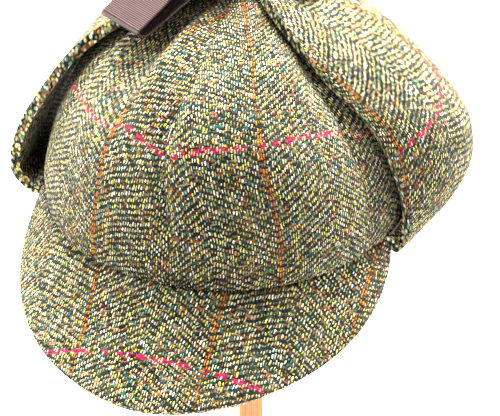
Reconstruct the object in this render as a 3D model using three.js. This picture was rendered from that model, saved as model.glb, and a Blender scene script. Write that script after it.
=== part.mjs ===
// A deerstalker on a plain wooden stand: a six-panel tweed cap with a peak in front and behind, and two
// ear flaps folded up over the crown and tied on top with a ribbon bow.
// Millimetres, +Z up. The hat faces -Y and the wearer's left is +X. The middle of the stand's foot is at
// the origin. The hat is drawn level, with its rim at z = 0, and then tilted a little on the stand's head.
import * as THREE from 'three';

// The head opening, inside the cloth: size 57
const HEAD_LENGTH = 198;
const HEAD_WIDTH = 164;

// Crown
const CROWN_HEIGHT = 92;
const CROWN_CLOTH = 2.2;
const FRONT_SEAM_ANGLE = 62; // degrees round the opening, from the centre seam to the next one
const PANEL_PUFF = 2.5; // how far a panel's middle stands out between its seams
const PUFF_LEAD = 0.12; // how far the puff has already run when it reaches the rim
const SEAM_GAP = 0.35; // between pieces that are sewn together
const FRONT_SEAM_WANDER = 6; // degrees that the front seam strays towards the wearer's right
const FRONT_SEAM_WANDER_RISE = 0.38; // where it strays most, and how much of its length does
const FRONT_SEAM_WANDER_SPREAD = 0.22;
const FRONT_FULLNESS = 3.7; // exponent of the profile front to back: a full, nearly upright brow
const SIDE_FULLNESS = 1.75; // and side to side, where the tied flaps press the crown in
const CROWN_TIP_ANGLE = 89.2; // degrees along a panel's profile, where 90 is the very top

// Peaks
const PEAK_DEPTH = 54;
const PEAK_CLOTH = 3.4;
const PEAK_END_ANGLE = 71.5; // degrees round the opening
const PEAK_SLOPE = 35; // degrees below level at the middle
const PEAK_END_SLOPE = 60;
const PEAK_FLARE = 0.20; // 0 is straight ahead, 1 is square to the opening
const PEAK_TAPER = 1.6;
const PEAK_END_SHARE = 0.94; // how much of its taper a peak runs through, so that its ends stay blunt

// Ear flaps
const FLAP_WIDTH = 80;
const FLAP_CLOTH = 4.6;
const FLAP_BASE_ANGLE = 74; // degrees round the opening, where the sewn edge starts
const FLAP_FOLD = 7; // how far the sewn edge runs outwards before it turns up
const FLAP_SAG = 3; // how far the fold hangs below the sewn edge
const FLAP_FOLD_WIDENING = 1.06; // the fold is this much wider than the sewn edge

// Ribbon
const RIBBON_WIDTH = 26;
const RIBBON_CLOTH = 1.0;
const RIBBON_REST_GAP = 0.3; // between the ribbon and what it lies on
const REST_REACH = 6; // how far to each side the stiff ribbon bridges dips in what it lies on
const KNOT_LENGTH = 22;
const KNOT_WIDTH = 20;
const KNOT_HEIGHT = 12;
const KNOT_ROUNDING = 0.3; // radius of its edges, a share of its height
const BOW_TURN = 49; // degrees, how far the bow is turned from straight across
const LOOP_LENGTH = 60;
const LOOP_RISE = 10; // how far the top of a loop stands over its underside
const LOOP_RISE_FROM = 0.28; // the stretch of a half wave that this rise follows, knot to fold
const LOOP_RISE_TO = 0.88;
const LOOP_LEAST_RISE = 3; // at the fold
const LOOP_DROP_SHARE = 1 / 3; // of a loop's length, in which its underside comes down from the knot
const LOOP_SHARES = [0, 0.2, 0.4, 0.6, 0.8, 0.95]; // places along a loop, the last one at its fold
const TAIL_LENGTH = 62;
const TAIL_SPLAY = 17; // degrees between a tail and the line midway between the two
const TAIL_SWING = 10; // degrees that this line swings from square to the bow
const TAIL_OFFSET = 5; // how far from the knot's middle a tail starts
const TIE_LENGTH = 20;
const LAID_SHARES = [0, 0.2, 0.4, 0.6, 0.8, 1]; // places along a tail or a tie

// Stand
const HAT_TILT = 2.5; // degrees, the wearer's left side down
const HAT_SHIFT = 3; // how far it sits to the wearer's right of the stand's middle
const STAND_HEIGHT = 320;
const STAND_FOOT_DIAMETER = 150;
const STAND_FOOT_THICKNESS = 16;
const STAND_POST_WIDTH = 12.6;
const STAND_POST_TURN = 36; // degrees, how far the square post is turned from facing forwards
const STAND_HEAD_DIAMETER = 70;
const STAND_HEAD_HEIGHT = 34;
const STAND_JOINT_GAP = 0.3;
const HAT_CLEARANCE = 0.7; // between the top of the stand's head and the crown above it
const STAND_SIDES = 40;

// Dents and ridges of the crown. angle: degrees from the front towards +X. rise: share of the way from
// the rim to the top. angleSpread and riseSpread: reach, in the same units. depth: share of the
// crown's height, and a ridge is negative.
const CROWN_DENTS = [
  { name: 'valley under the bow', angle: -36, rise: 0.62, angleSpread: 10, riseSpread: 0.18, depth: 0.045 },
  { name: 'ridge beside it', angle: -19, rise: 0.64, angleSpread: 8, riseSpread: 0.20, depth: -0.040 },
  { name: 'valley by the left flap', angle: 68, rise: 0.58, angleSpread: 11, riseSpread: 0.20, depth: 0.040 },
  { name: 'ridge beside that', angle: 49, rise: 0.55, angleSpread: 9, riseSpread: 0.14, depth: -0.025 },
];

// Sections of an ear flap from the sewn edge to the tip. midOut and edgeOut are shares of the crown's
// outer half-width, midUp and edgeUp shares of its height, half a share of the flap's half-width.
const LEFT_FLAP_SECTIONS = [
  { midOut: 1.150, midUp: 0.000, edgeOut: 1.050, edgeUp: 0.005, half: 0.87 },
  { midOut: 1.235, midUp: 0.098, edgeOut: 1.045, edgeUp: 0.090, half: 0.91 },
  { midOut: 1.289, midUp: 0.228, edgeOut: 1.010, edgeUp: 0.215, half: 0.93 },
  { midOut: 1.275, midUp: 0.348, edgeOut: 0.960, edgeUp: 0.345, half: 0.93 },
  { midOut: 1.230, midUp: 0.460, edgeOut: 0.890, edgeUp: 0.475, half: 0.93 },
  { midOut: 1.115, midUp: 0.585, edgeOut: 0.785, edgeUp: 0.610, half: 0.94 },
  { midOut: 0.955, midUp: 0.715, edgeOut: 0.640, edgeUp: 0.735, half: 0.97 },
  { midOut: 0.765, midUp: 0.845, edgeOut: 0.500, edgeUp: 0.855, half: 0.96 },
  { midOut: 0.550, midUp: 0.955, edgeOut: 0.385, edgeUp: 0.955, half: 0.88 },
  { midOut: 0.320, midUp: 1.045, edgeOut: 0.270, edgeUp: 1.035, half: 0.70 },
  { midOut: 0.190, midUp: 1.082, edgeOut: 0.180, edgeUp: 1.078, half: 0.48 },
  { midOut: 0.115, midUp: 1.090, edgeOut: 0.125, edgeUp: 1.090, half: 0.22 },
];
const RIGHT_FLAP_SECTIONS = [
  { midOut: 1.150, midUp: 0.000, edgeOut: 1.120, edgeUp: 0.005, half: 0.87 },
  { midOut: 1.150, midUp: 0.115, edgeOut: 1.120, edgeUp: 0.110, half: 0.91 },
  { midOut: 1.115, midUp: 0.255, edgeOut: 1.075, edgeUp: 0.240, half: 0.93 },
  { midOut: 1.055, midUp: 0.395, edgeOut: 1.005, edgeUp: 0.380, half: 0.93 },
  { midOut: 0.975, midUp: 0.530, edgeOut: 0.920, edgeUp: 0.510, half: 0.93 },
  { midOut: 0.885, midUp: 0.655, edgeOut: 0.830, edgeUp: 0.635, half: 0.93 },
  { midOut: 0.790, midUp: 0.775, edgeOut: 0.740, edgeUp: 0.750, half: 0.94 },
  { midOut: 0.665, midUp: 0.885, edgeOut: 0.630, edgeUp: 0.860, half: 0.92 },
  { midOut: 0.505, midUp: 0.975, edgeOut: 0.490, edgeUp: 0.955, half: 0.85 },
  { midOut: 0.320, midUp: 1.045, edgeOut: 0.320, edgeUp: 1.035, half: 0.68 },
  { midOut: 0.195, midUp: 1.082, edgeOut: 0.195, edgeUp: 1.078, half: 0.47 },
  { midOut: 0.115, midUp: 1.090, edgeOut: 0.125, edgeUp: 1.090, half: 0.22 },
];
const FLAPS = [
  { name: 'ear_flap_left', side: 1, sections: LEFT_FLAP_SECTIONS, cupping: 2.6, lean: 0.18 },
  { name: 'ear_flap_right', side: -1, sections: RIGHT_FLAP_SECTIONS, cupping: 2.0, lean: 0.06 },
];

// How finely each sheet is divided
const PANEL_COLUMNS = 8;
const PANEL_ROWS = 12;
const PEAK_COLUMNS = 36;
const PEAK_ROWS = 5;
const FLAP_COLUMNS = 12;
const FLAP_ROWS = 20;
const RIBBON_COLUMNS = 2;
const LOOP_STEPS = 30;
const TAIL_STEPS = 14;
const TIE_STEPS = 6;
const KNOT_CORNER_STEPS = 4;
const DOME_STEPS = 8;

// Colours and finishes
const tweed = new THREE.MeshStandardMaterial({ color: 0x6e6a4c, roughness: 0.95, metalness: 0 });
const grosgrain = new THREE.MeshStandardMaterial({ color: 0x4a3a36, roughness: 0.7, metalness: 0 });
const pine = new THREE.MeshStandardMaterial({ color: 0xd98c4e, roughness: 0.6, metalness: 0 });

// Sizes worked out from the ones above
const outerHalfLength = HEAD_LENGTH / 2 + CROWN_CLOTH;
const outerHalfWidth = HEAD_WIDTH / 2 + CROWN_CLOTH;
const STEP = 1e-3; // for slopes taken by difference

// A closed body from a sheet: point(u, v) gives its outer face for u and v from 0 to 1, and facing is
// 1 or -1, whichever makes the normal point outwards. The inner face lies one thickness behind it.
function sheetGeometry(point, facing, columns, rows, thickness) {
  const outer = [];
  const inner = [];
  for (let row = 0; row <= rows; row++) {
    for (let column = 0; column <= columns; column++) {
      const u = column / columns;
      const v = row / rows;
      const at = point(u, v);
      outer.push(at);
      inner.push(at.clone().addScaledVector(sheetNormal(point, facing, u, v), -thickness));
    }
  }
  const width = columns + 1;
  const innerStart = outer.length;
  const faces = [];
  const quad = (a, b, c, d) => {
    if (facing > 0) faces.push(a, b, c, a, c, d);
    else faces.push(a, c, b, a, d, c);
  };
  for (let row = 0; row < rows; row++) {
    for (let column = 0; column < columns; column++) {
      const a = row * width + column;
      quad(a, a + 1, a + 1 + width, a + width);
      quad(innerStart + a, innerStart + a + width, innerStart + a + 1 + width, innerStart + a + 1);
    }
  }
  for (let column = 0; column < columns; column++) {
    const low = column;
    const high = rows * width + column;
    quad(low, innerStart + low, innerStart + low + 1, low + 1);
    quad(high, high + 1, innerStart + high + 1, innerStart + high);
  }
  for (let row = 0; row < rows; row++) {
    const first = row * width;
    const last = row * width + columns;
    quad(first, first + width, innerStart + first + width, innerStart + first);
    quad(last, innerStart + last, innerStart + last + width, last + width);
  }
  const geometry = new THREE.BufferGeometry();
  geometry.setAttribute('position', new THREE.Float32BufferAttribute(
    [...outer, ...inner].flatMap((p) => [p.x, p.y, p.z]), 3));
  geometry.setIndex(faces);
  geometry.computeVertexNormals();
  return geometry;
}

function sheetNormal(point, facing, u, v) {
  const across = point(Math.min(1, u + STEP), v).sub(point(Math.max(0, u - STEP), v));
  const along = point(u, Math.min(1, v + STEP)).sub(point(u, Math.max(0, v - STEP)));
  return across.cross(along).multiplyScalar(facing).normalize();
}

// Crown. angle: radians from the front towards +X. rise: 0 at the rim, 1 at the tip of a panel.
function crownBase(angle, rise) {
  const profileAngle = THREE.MathUtils.degToRad(CROWN_TIP_ANGLE) * rise;
  const meanFullness = (FRONT_FULLNESS + SIDE_FULLNESS) / 2;
  const height = Math.sin(profileAngle) ** (2 / meanFullness);
  const ahead = Math.sqrt(1 - height ** FRONT_FULLNESS);
  const aside = Math.sqrt(1 - height ** SIDE_FULLNESS);
  return new THREE.Vector3(
    outerHalfWidth * Math.sin(angle) * aside,
    -outerHalfLength * Math.cos(angle) * ahead,
    CROWN_HEIGHT * height,
  );
}

function crownOutward(angle, rise) {
  const low = Math.max(0, rise - STEP);
  const high = Math.min(1, rise + STEP);
  const round = crownBase(angle + STEP, rise).sub(crownBase(angle - STEP, rise));
  const up = crownBase(angle, high).sub(crownBase(angle, low));
  return round.cross(up).normalize();
}

function dentDepth(angle, rise) {
  return CROWN_DENTS.reduce((depth, dent) => {
    const across = (THREE.MathUtils.radToDeg(angle) - dent.angle) / dent.angleSpread;
    const along = (rise - dent.rise) / dent.riseSpread;
    return depth + dent.depth * CROWN_HEIGHT * Math.exp(-across * across - along * along);
  }, 0) * Math.sin(Math.PI * rise);
}

// share: -1 and 1 at a panel's two seams, 0 at its middle
function crownPoint(angle, rise, share) {
  const puff = PANEL_PUFF * (1 - share * share) * Math.sin(Math.PI * Math.min(1, rise + PUFF_LEAD));
  const nearest = Math.atan2(Math.sin(angle), Math.cos(angle));
  const out = Math.max(0, puff) - dentDepth(nearest, rise);
  return crownBase(angle, rise).addScaledVector(crownOutward(angle, rise), out);
}

// The seams' angles at a given rise. The front seam wanders, the others run straight up.
function seamAngle(name, rise) {
  const seam = THREE.MathUtils.degToRad(FRONT_SEAM_ANGLE);
  const along = (rise - FRONT_SEAM_WANDER_RISE) / FRONT_SEAM_WANDER_SPREAD;
  const wander = THREE.MathUtils.degToRad(FRONT_SEAM_WANDER) * Math.exp(-along * along);
  return {
    front: -wander,
    frontLeft: seam,
    backLeft: Math.PI - seam,
    back: Math.PI,
    backRight: Math.PI + seam,
    frontRight: 2 * Math.PI - seam,
    frontAgain: 2 * Math.PI - wander,
  }[name];
}

function crownPanels() {
  const panels = [
    { name: 'crown_panel_front_left', from: 'front', to: 'frontLeft' },
    { name: 'crown_panel_side_left', from: 'frontLeft', to: 'backLeft' },
    { name: 'crown_panel_back_left', from: 'backLeft', to: 'back' },
    { name: 'crown_panel_back_right', from: 'back', to: 'backRight' },
    { name: 'crown_panel_side_right', from: 'backRight', to: 'frontRight' },
    { name: 'crown_panel_front_right', from: 'frontRight', to: 'frontAgain' },
  ];
  return panels.map((panel) => {
    const point = (u, v) => {
      const from = seamAngle(panel.from, v);
      const to = seamAngle(panel.to, v);
      const angle = THREE.MathUtils.lerp(from, to, u);
      const reach = crownBase(angle + STEP, v).distanceTo(crownBase(angle, v)) / STEP;
      const trim = (SEAM_GAP / 2 / reach) * (1 - 2 * u);
      return crownPoint(angle + trim, v, 2 * u - 1);
    };
    const geometry = sheetGeometry(point, 1, PANEL_COLUMNS, PANEL_ROWS, CROWN_CLOTH);
    return namedMesh(panel.name, geometry, tweed);
  });
}

// Peaks. The outer edge keeps its depth at the middle and tapers to the two ends.
function peakPoint(u, v) {
  const end = THREE.MathUtils.degToRad(PEAK_END_ANGLE);
  const share = Math.sin((u - 0.5) * Math.PI * PEAK_END_SHARE);
  const angle = end * share;
  const depth = PEAK_DEPTH * Math.sqrt(1 - Math.abs(share) ** PEAK_TAPER);
  const slope = THREE.MathUtils.degToRad(
    THREE.MathUtils.lerp(PEAK_SLOPE, PEAK_END_SLOPE, share * share));
  const square = new THREE.Vector2(Math.sin(angle) / outerHalfWidth, -Math.cos(angle) / outerHalfLength)
    .normalize();
  const ahead = new THREE.Vector2(square.x * PEAK_FLARE, square.y).normalize();
  const rim = crownBase(angle, 0);
  return new THREE.Vector3(
    rim.x + depth * v * Math.cos(slope) * ahead.x,
    rim.y + depth * v * Math.cos(slope) * ahead.y,
    rim.z - SEAM_GAP - depth * v * Math.sin(slope),
  );
}

function peaks() {
  return [{ name: 'peak_front', side: 1 }, { name: 'peak_back', side: -1 }].map(({ name, side }) => {
    const point = (u, v) => peakPoint(u, v).multiply(new THREE.Vector3(1, side, 1));
    const geometry = sheetGeometry(point, -side, PEAK_COLUMNS, PEAK_ROWS, PEAK_CLOTH);
    return namedMesh(name, geometry, tweed);
  });
}

// Ear flaps. Two rows carry the sewn edge out from under the rim, and the table follows.
function flapRows(flap) {
  const base = outerHalfLength * Math.cos(THREE.MathUtils.degToRad(FLAP_BASE_ANGLE));
  const under = -SEAM_GAP - FLAP_CLOTH;
  const rimOut = (along) => outerHalfWidth * Math.sqrt(1 - (along / outerHalfLength) ** 2);
  const sewn = (out, down, half) => ({
    mid: new THREE.Vector3(rimOut(0) + out, 0, under - down),
    edge: new THREE.Vector3(rimOut(half) + out, half, under - down),
  });
  const rows = [
    sewn(-CROWN_CLOTH, 0, base),
    sewn(FLAP_FOLD - CROWN_CLOTH, FLAP_SAG, base * FLAP_FOLD_WIDENING),
  ];
  for (const section of flap.sections) {
    rows.push({
      mid: new THREE.Vector3(section.midOut * outerHalfWidth, 0, section.midUp * CROWN_HEIGHT),
      edge: new THREE.Vector3(section.edgeOut * outerHalfWidth, section.half * FLAP_WIDTH / 2,
        section.edgeUp * CROWN_HEIGHT),
    });
  }
  return rows;
}

function earFlaps() {
  return FLAPS.map((flap) => {
    const rows = flapRows(flap);
    const middle = new THREE.CatmullRomCurve3(rows.map((row) => row.mid), false, 'centripetal');
    const edge = new THREE.CatmullRomCurve3(rows.map((row) => row.edge), false, 'centripetal');
    const point = (u, v) => {
      const across = 2 * u - 1;
      const bow = 1 - Math.abs(across) ** flap.cupping;
      const at = edge.getPoint(v).lerp(middle.getPoint(v), bow);
      const half = edge.getPoint(v).y;
      const lean = flap.lean * FLAP_WIDTH / 2 * Math.sin(Math.PI * v) * (1 - across * across);
      return new THREE.Vector3(flap.side * at.x, half * across + lean, at.z);
    };
    const geometry = sheetGeometry(point, flap.side, FLAP_COLUMNS, FLAP_ROWS, FLAP_CLOTH);
    return namedMesh(flap.name, geometry, tweed);
  });
}

// Ribbon. A strip follows a line of centres, flat across its width.
function ribbonGeometry(centres, acrossAt, steps) {
  const line = new THREE.CatmullRomCurve3(centres, false, 'centripetal');
  const point = (u, v) => {
    const share = THREE.MathUtils.clamp(v, 0, 1);
    return line.getPoint(share).addScaledVector(acrossAt(share), (u - 0.5) * RIBBON_WIDTH);
  };
  return sheetGeometry(point, 1, RIBBON_COLUMNS, steps, RIBBON_CLOTH);
}

// The highest point of the given pieces under a patch as wide as the ribbon.
function restHeight(pieces, x, y, along, across) {
  const caster = new THREE.Raycaster();
  const down = new THREE.Vector3(0, 0, -1);
  const widthShares = [-0.5, -0.25, 0, 0.25, 0.5];
  const heights = widthShares.flatMap((share) => [-REST_REACH, 0, REST_REACH].flatMap((reach) => {
    const from = new THREE.Vector3(x, y, 2 * CROWN_HEIGHT)
      .addScaledVector(across, share * RIBBON_WIDTH)
      .addScaledVector(along, reach);
    caster.set(from, down);
    return caster.intersectObjects(pieces).map((hit) => hit.point.z);
  }));
  return Math.max(0, ...heights);
}

function bow(pieces) {
  const turn = THREE.MathUtils.degToRad(BOW_TURN);
  const alongBow = new THREE.Vector3(Math.cos(turn), Math.sin(turn), 0);
  const acrossBow = new THREE.Vector3(-Math.sin(turn), Math.cos(turn), 0);
  const seat = Math.max(...[-1, 0, 1].map((share) => restHeight(
    pieces, alongBow.x * share * KNOT_LENGTH / 2, alongBow.y * share * KNOT_LENGTH / 2,
    alongBow, acrossBow)));
  const knotBase = seat + RIBBON_REST_GAP;
  const ties = [tie('ribbon_tie_left', 1, pieces), tie('ribbon_tie_right', -1, pieces)];
  const underTails = [...pieces, ...ties];
  const lowerTail = tail('bow_tail_right', -1, turn, underTails);
  const tails = [lowerTail, tail('bow_tail_left', 1, turn, [...underTails, lowerTail])];
  const underLoops = [...underTails, ...tails];
  return [
    knot(knotBase, turn),
    loop('bow_loop_front', -1, alongBow, acrossBow, knotBase, underLoops),
    loop('bow_loop_back', 1, alongBow, acrossBow, knotBase, underLoops),
    ...ties,
    ...tails,
  ];
}

function knot(knotBase, turn) {
  const round = KNOT_HEIGHT * KNOT_ROUNDING;
  const outline = new THREE.Shape();
  const half = KNOT_LENGTH / 2;
  outline.moveTo(-half + round, 0);
  outline.lineTo(half - round, 0);
  outline.absarc(half - round, round, round, -Math.PI / 2, 0);
  outline.lineTo(half, KNOT_HEIGHT - round);
  outline.absarc(half - round, KNOT_HEIGHT - round, round, 0, Math.PI / 2);
  outline.lineTo(-half + round, KNOT_HEIGHT);
  outline.absarc(-half + round, KNOT_HEIGHT - round, round, Math.PI / 2, Math.PI);
  outline.lineTo(-half, round);
  outline.absarc(-half + round, round, round, Math.PI, 1.5 * Math.PI);
  const geometry = new THREE.ExtrudeGeometry(outline, {
    depth: KNOT_WIDTH, bevelEnabled: false, curveSegments: KNOT_CORNER_STEPS, steps: 1,
  });
  geometry.translate(0, 0, -KNOT_WIDTH / 2).rotateX(Math.PI / 2);
  const mesh = namedMesh('bow_knot', geometry, grosgrain);
  mesh.position.z = knotBase;
  mesh.rotation.z = turn;
  return mesh;
}

// A loop leaves the knot, turns over at its end and comes back underneath.
function loop(name, side, alongBow, acrossBow, knotBase, pieces) {
  const start = KNOT_LENGTH / 2 + SEAM_GAP + RIBBON_CLOTH / 2;
  const lift = RIBBON_REST_GAP + RIBBON_CLOTH;
  const at = (share) => alongBow.clone().multiplyScalar(side * (start + share * (LOOP_LENGTH - start)));
  const under = (share) => {
    const place = at(share);
    const rest = restHeight(pieces, place.x, place.y, alongBow, acrossBow) + lift;
    const drop = Math.min(1, share / LOOP_DROP_SHARE);
    const height = Math.max(rest, THREE.MathUtils.lerp(knotBase + lift, rest, drop));
    return place.setZ(height);
  };
  const over = (share) => {
    const place = under(share);
    const wave = Math.PI * THREE.MathUtils.lerp(LOOP_RISE_FROM, LOOP_RISE_TO, share);
    return place.setZ(place.z + Math.max(LOOP_RISE * Math.sin(wave), LOOP_LEAST_RISE));
  };
  const fold = LOOP_SHARES.at(-1);
  const last = over(fold).lerp(under(fold), 0.5).add(at(1).sub(at(fold)));
  const centres = [...LOOP_SHARES.map(over), last, ...LOOP_SHARES.map(under).reverse()];
  const geometry = ribbonGeometry(centres, () => acrossBow.clone().multiplyScalar(side), LOOP_STEPS);
  return namedMesh(name, geometry, grosgrain);
}

// A tail lies on the crown and the flaps behind the knot, and the second one lies on the first.
function tail(name, side, turn, pieces) {
  const straightBack = turn + Math.PI / 2 - THREE.MathUtils.degToRad(TAIL_SWING);
  const heading = straightBack - side * THREE.MathUtils.degToRad(TAIL_SPLAY);
  const along = new THREE.Vector3(Math.cos(heading), Math.sin(heading), 0);
  const across = new THREE.Vector3(-along.y, along.x, 0);
  const skew = Math.tan(Math.abs(heading - turn - Math.PI / 2));
  const start = KNOT_WIDTH / 2 + 2 * SEAM_GAP + skew * (KNOT_LENGTH / 2 - TAIL_OFFSET);
  const root = new THREE.Vector3(Math.cos(turn), Math.sin(turn), 0).multiplyScalar(side * TAIL_OFFSET)
    .add(new THREE.Vector3(-Math.sin(turn), Math.cos(turn), 0).multiplyScalar(start));
  return layRibbon(name, root, along, across, TAIL_LENGTH, pieces, TAIL_STEPS);
}

// A tie is sewn on a flap's tip and runs in under the knot's end.
function tie(name, side, pieces) {
  const along = new THREE.Vector3(side, 0, 0);
  const across = new THREE.Vector3(0, side, 0);
  const reach = Math.hypot(KNOT_LENGTH, KNOT_WIDTH) / 2 + SEAM_GAP;
  return layRibbon(name, along.clone().multiplyScalar(reach), along, across, TIE_LENGTH, pieces, TIE_STEPS);
}

function layRibbon(name, root, along, across, length, pieces, steps) {
  const lift = RIBBON_REST_GAP + RIBBON_CLOTH;
  const centres = LAID_SHARES.map((share) => {
    const place = root.clone().addScaledVector(along, share * length);
    return place.setZ(restHeight(pieces, place.x, place.y, along, across) + lift);
  });
  return namedMesh(name, ribbonGeometry(centres, () => across, steps), grosgrain);
}

// Stand. A round foot, a square post and a domed head inside the crown.
function stand() {
  const foot = new THREE.CylinderGeometry(
    STAND_FOOT_DIAMETER / 2, STAND_FOOT_DIAMETER / 2, STAND_FOOT_THICKNESS, STAND_SIDES);
  foot.rotateX(Math.PI / 2).translate(0, 0, STAND_FOOT_THICKNESS / 2);

  const postBottom = STAND_FOOT_THICKNESS + STAND_JOINT_GAP;
  const headBottom = STAND_HEIGHT - STAND_HEAD_HEIGHT;
  const postLength = headBottom - STAND_JOINT_GAP - postBottom;
  const post = new THREE.BoxGeometry(STAND_POST_WIDTH, STAND_POST_WIDTH, postLength);
  post.rotateZ(THREE.MathUtils.degToRad(STAND_POST_TURN));
  post.translate(0, 0, postBottom + postLength / 2);

  const dome = new THREE.EllipseCurve(
    0, 0, STAND_HEAD_DIAMETER / 2, STAND_HEAD_HEIGHT, 0, Math.PI / 2);
  const profile = [new THREE.Vector2(0, 0), ...dome.getPoints(DOME_STEPS)];
  const head = new THREE.LatheGeometry(profile, STAND_SIDES);
  head.rotateX(Math.PI / 2).translate(0, 0, headBottom);

  return [
    namedMesh('stand_foot', foot, pine),
    namedMesh('stand_post', post, pine),
    namedMesh('stand_head', head, pine),
  ];
}

function namedMesh(name, geometry, material) {
  const mesh = new THREE.Mesh(geometry, material);
  mesh.name = name;
  return mesh;
}

// The hat hangs by the inside of its crown on the top of the stand's head, and turns about that point.
function seatOnStand(hat) {
  const inside = CROWN_HEIGHT - CROWN_CLOTH;
  const tilt = THREE.MathUtils.degToRad(HAT_TILT);
  hat.rotation.y = tilt;
  hat.position.set(-HAT_SHIFT - inside * Math.sin(tilt), 0,
    STAND_HEIGHT + HAT_CLEARANCE - inside * Math.cos(tilt));
  return hat;
}

const crown = crownPanels();
const flaps = earFlaps();
const hat = new THREE.Group();
hat.add(...bow([...crown, ...flaps]), ...crown, ...peaks(), ...flaps);

const hatOnStand = new THREE.Group();
hatOnStand.add(seatOnStand(hat), ...stand());

export default hatOnStand;
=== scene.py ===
"""A tweed deerstalker on a plain wooden stand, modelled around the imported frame, with its stage.

Metres, +Z up. The hat faces -Y and the wearer's left is +X. The hat is modelled level, with its rim at
z = 0, and its meshes are then tilted onto the stand.
"""
import math

import bmesh
import bpy
from bpy.props import FloatProperty, FloatVectorProperty, PointerProperty
from mathutils import Matrix, Vector, noise
from mathutils.bvhtree import BVHTree


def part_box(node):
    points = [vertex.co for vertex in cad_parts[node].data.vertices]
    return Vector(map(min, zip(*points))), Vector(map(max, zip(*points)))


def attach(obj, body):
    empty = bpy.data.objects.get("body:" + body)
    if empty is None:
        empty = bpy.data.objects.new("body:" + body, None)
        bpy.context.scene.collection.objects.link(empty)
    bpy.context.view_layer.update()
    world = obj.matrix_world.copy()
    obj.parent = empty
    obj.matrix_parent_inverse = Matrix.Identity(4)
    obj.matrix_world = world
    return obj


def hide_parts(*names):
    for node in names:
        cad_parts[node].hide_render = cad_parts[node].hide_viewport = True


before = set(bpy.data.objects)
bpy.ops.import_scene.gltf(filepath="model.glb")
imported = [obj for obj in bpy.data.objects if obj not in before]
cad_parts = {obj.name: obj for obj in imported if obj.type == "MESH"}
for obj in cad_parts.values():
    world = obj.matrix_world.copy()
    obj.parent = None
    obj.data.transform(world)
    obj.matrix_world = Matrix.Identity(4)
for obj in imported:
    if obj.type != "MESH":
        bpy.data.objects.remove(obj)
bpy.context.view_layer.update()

bl_info = {
    "name": "Deerstalker on a Stand",
    "version": (1, 0, 0),
    "blender": (4, 5, 0),
    "location": "View3D > Sidebar > Hat",
    "description": "Makes a tweed deerstalker with tied-up ear flaps on a plain wooden stand",
    "category": "Add Mesh",
}

MM = 0.001
STEP = 1e-3  # for slopes taken by difference

# Crown: shares of its height or of a seam's length, and degrees
FRONT_SEAM_ANGLE = 62
FRONT_SEAM_WANDER = 6  # how far the front seam strays towards the wearer's right, and where
FRONT_SEAM_WANDER_RISE = 0.38
FRONT_SEAM_WANDER_SPREAD = 0.22
FRONT_FULLNESS = 3.7  # exponents of the profile, front to back and side to side
SIDE_FULLNESS = 1.75
CROWN_TIP_ANGLE = 89.2  # where 90 is the very top
PUFF_LEAD = 0.12  # how far the puff has already run at the rim
SEAM_TRIM = 0.12 * MM  # half the gap between two panels
CROWN_CROWDING = 0.55  # how far the mesh is drawn to the seams
CROWN_EDGE_ROUND = 0.5 * MM

# Folds of the crown: angle in degrees from the front towards +X, rise from rim to top, and how far
# each reaches both ways. depth is a share of the crown's height, and a ridge is negative.
CROWN_FOLDS = [
    {"angle": -38, "rise": 0.66, "angle_spread": 10, "rise_spread": 0.20, "depth": 0.055},
    {"angle": -20, "rise": 0.64, "angle_spread": 8, "rise_spread": 0.22, "depth": -0.050},
    {"angle": -62, "rise": 0.62, "angle_spread": 11, "rise_spread": 0.18, "depth": -0.035},
    {"angle": 68, "rise": 0.58, "angle_spread": 11, "rise_spread": 0.20, "depth": 0.040},
    {"angle": 46, "rise": 0.58, "angle_spread": 8, "rise_spread": 0.14, "depth": -0.035},
]

# Peaks: degrees round the opening and below level, and how they flare and taper
PEAK_END_ANGLE = 71.5
PEAK_SLOPE = 35
PEAK_END_SLOPE = 60
PEAK_FLARE = 0.20  # 0 is straight ahead, 1 is square to the opening
PEAK_TAPER = 1.6
PEAK_END_SHARE = 0.94  # how much of its taper a peak runs through, so that its ends stay blunt
PEAK_TUCK = 2.4 * MM  # how far its sewn edge runs in under the crown's
PEAK_EDGE_ROUND = 1.5 * MM

# Ear flaps. mid_out and edge_out are shares of the crown's half-width, mid_up and edge_up of its height,
# and half is a share of the flap's half-width. The cut's numbers are as for the crown's panels.
FLAP_BASE_ANGLE = 74
FLAP_BASE_WIDENING = 1.26  # of the sewn edge, against the stretch of rim that the angle gives
FLAP_FOLD_WIDENING = 1.24
FLAP_TUCK = 2.5 * MM  # how far its sewn edge runs up inside the rim
FLAP_CROWDING = 0.3  # how far the mesh is drawn to the flap's edges
FLAP_EDGE_ROUND = 2.0 * MM
LEFT_FLAP_SECTIONS = [
    {"mid_out": 1.150, "mid_up": 0.000, "edge_out": 1.050, "edge_up": 0.005, "half": 0.87},
    {"mid_out": 1.235, "mid_up": 0.098, "edge_out": 1.045, "edge_up": 0.090, "half": 0.91},
    {"mid_out": 1.289, "mid_up": 0.228, "edge_out": 1.010, "edge_up": 0.215, "half": 0.93},
    {"mid_out": 1.275, "mid_up": 0.348, "edge_out": 0.960, "edge_up": 0.345, "half": 0.93},
    {"mid_out": 1.230, "mid_up": 0.460, "edge_out": 0.890, "edge_up": 0.475, "half": 0.93},
    {"mid_out": 1.115, "mid_up": 0.585, "edge_out": 0.785, "edge_up": 0.610, "half": 0.94},
    {"mid_out": 0.955, "mid_up": 0.715, "edge_out": 0.640, "edge_up": 0.735, "half": 0.97},
    {"mid_out": 0.765, "mid_up": 0.845, "edge_out": 0.500, "edge_up": 0.855, "half": 0.96},
    {"mid_out": 0.550, "mid_up": 0.955, "edge_out": 0.385, "edge_up": 0.955, "half": 0.88},
    {"mid_out": 0.320, "mid_up": 1.045, "edge_out": 0.270, "edge_up": 1.035, "half": 0.70},
    {"mid_out": 0.190, "mid_up": 1.082, "edge_out": 0.180, "edge_up": 1.078, "half": 0.48},
    {"mid_out": 0.115, "mid_up": 1.090, "edge_out": 0.125, "edge_up": 1.090, "half": 0.22},
]
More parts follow.
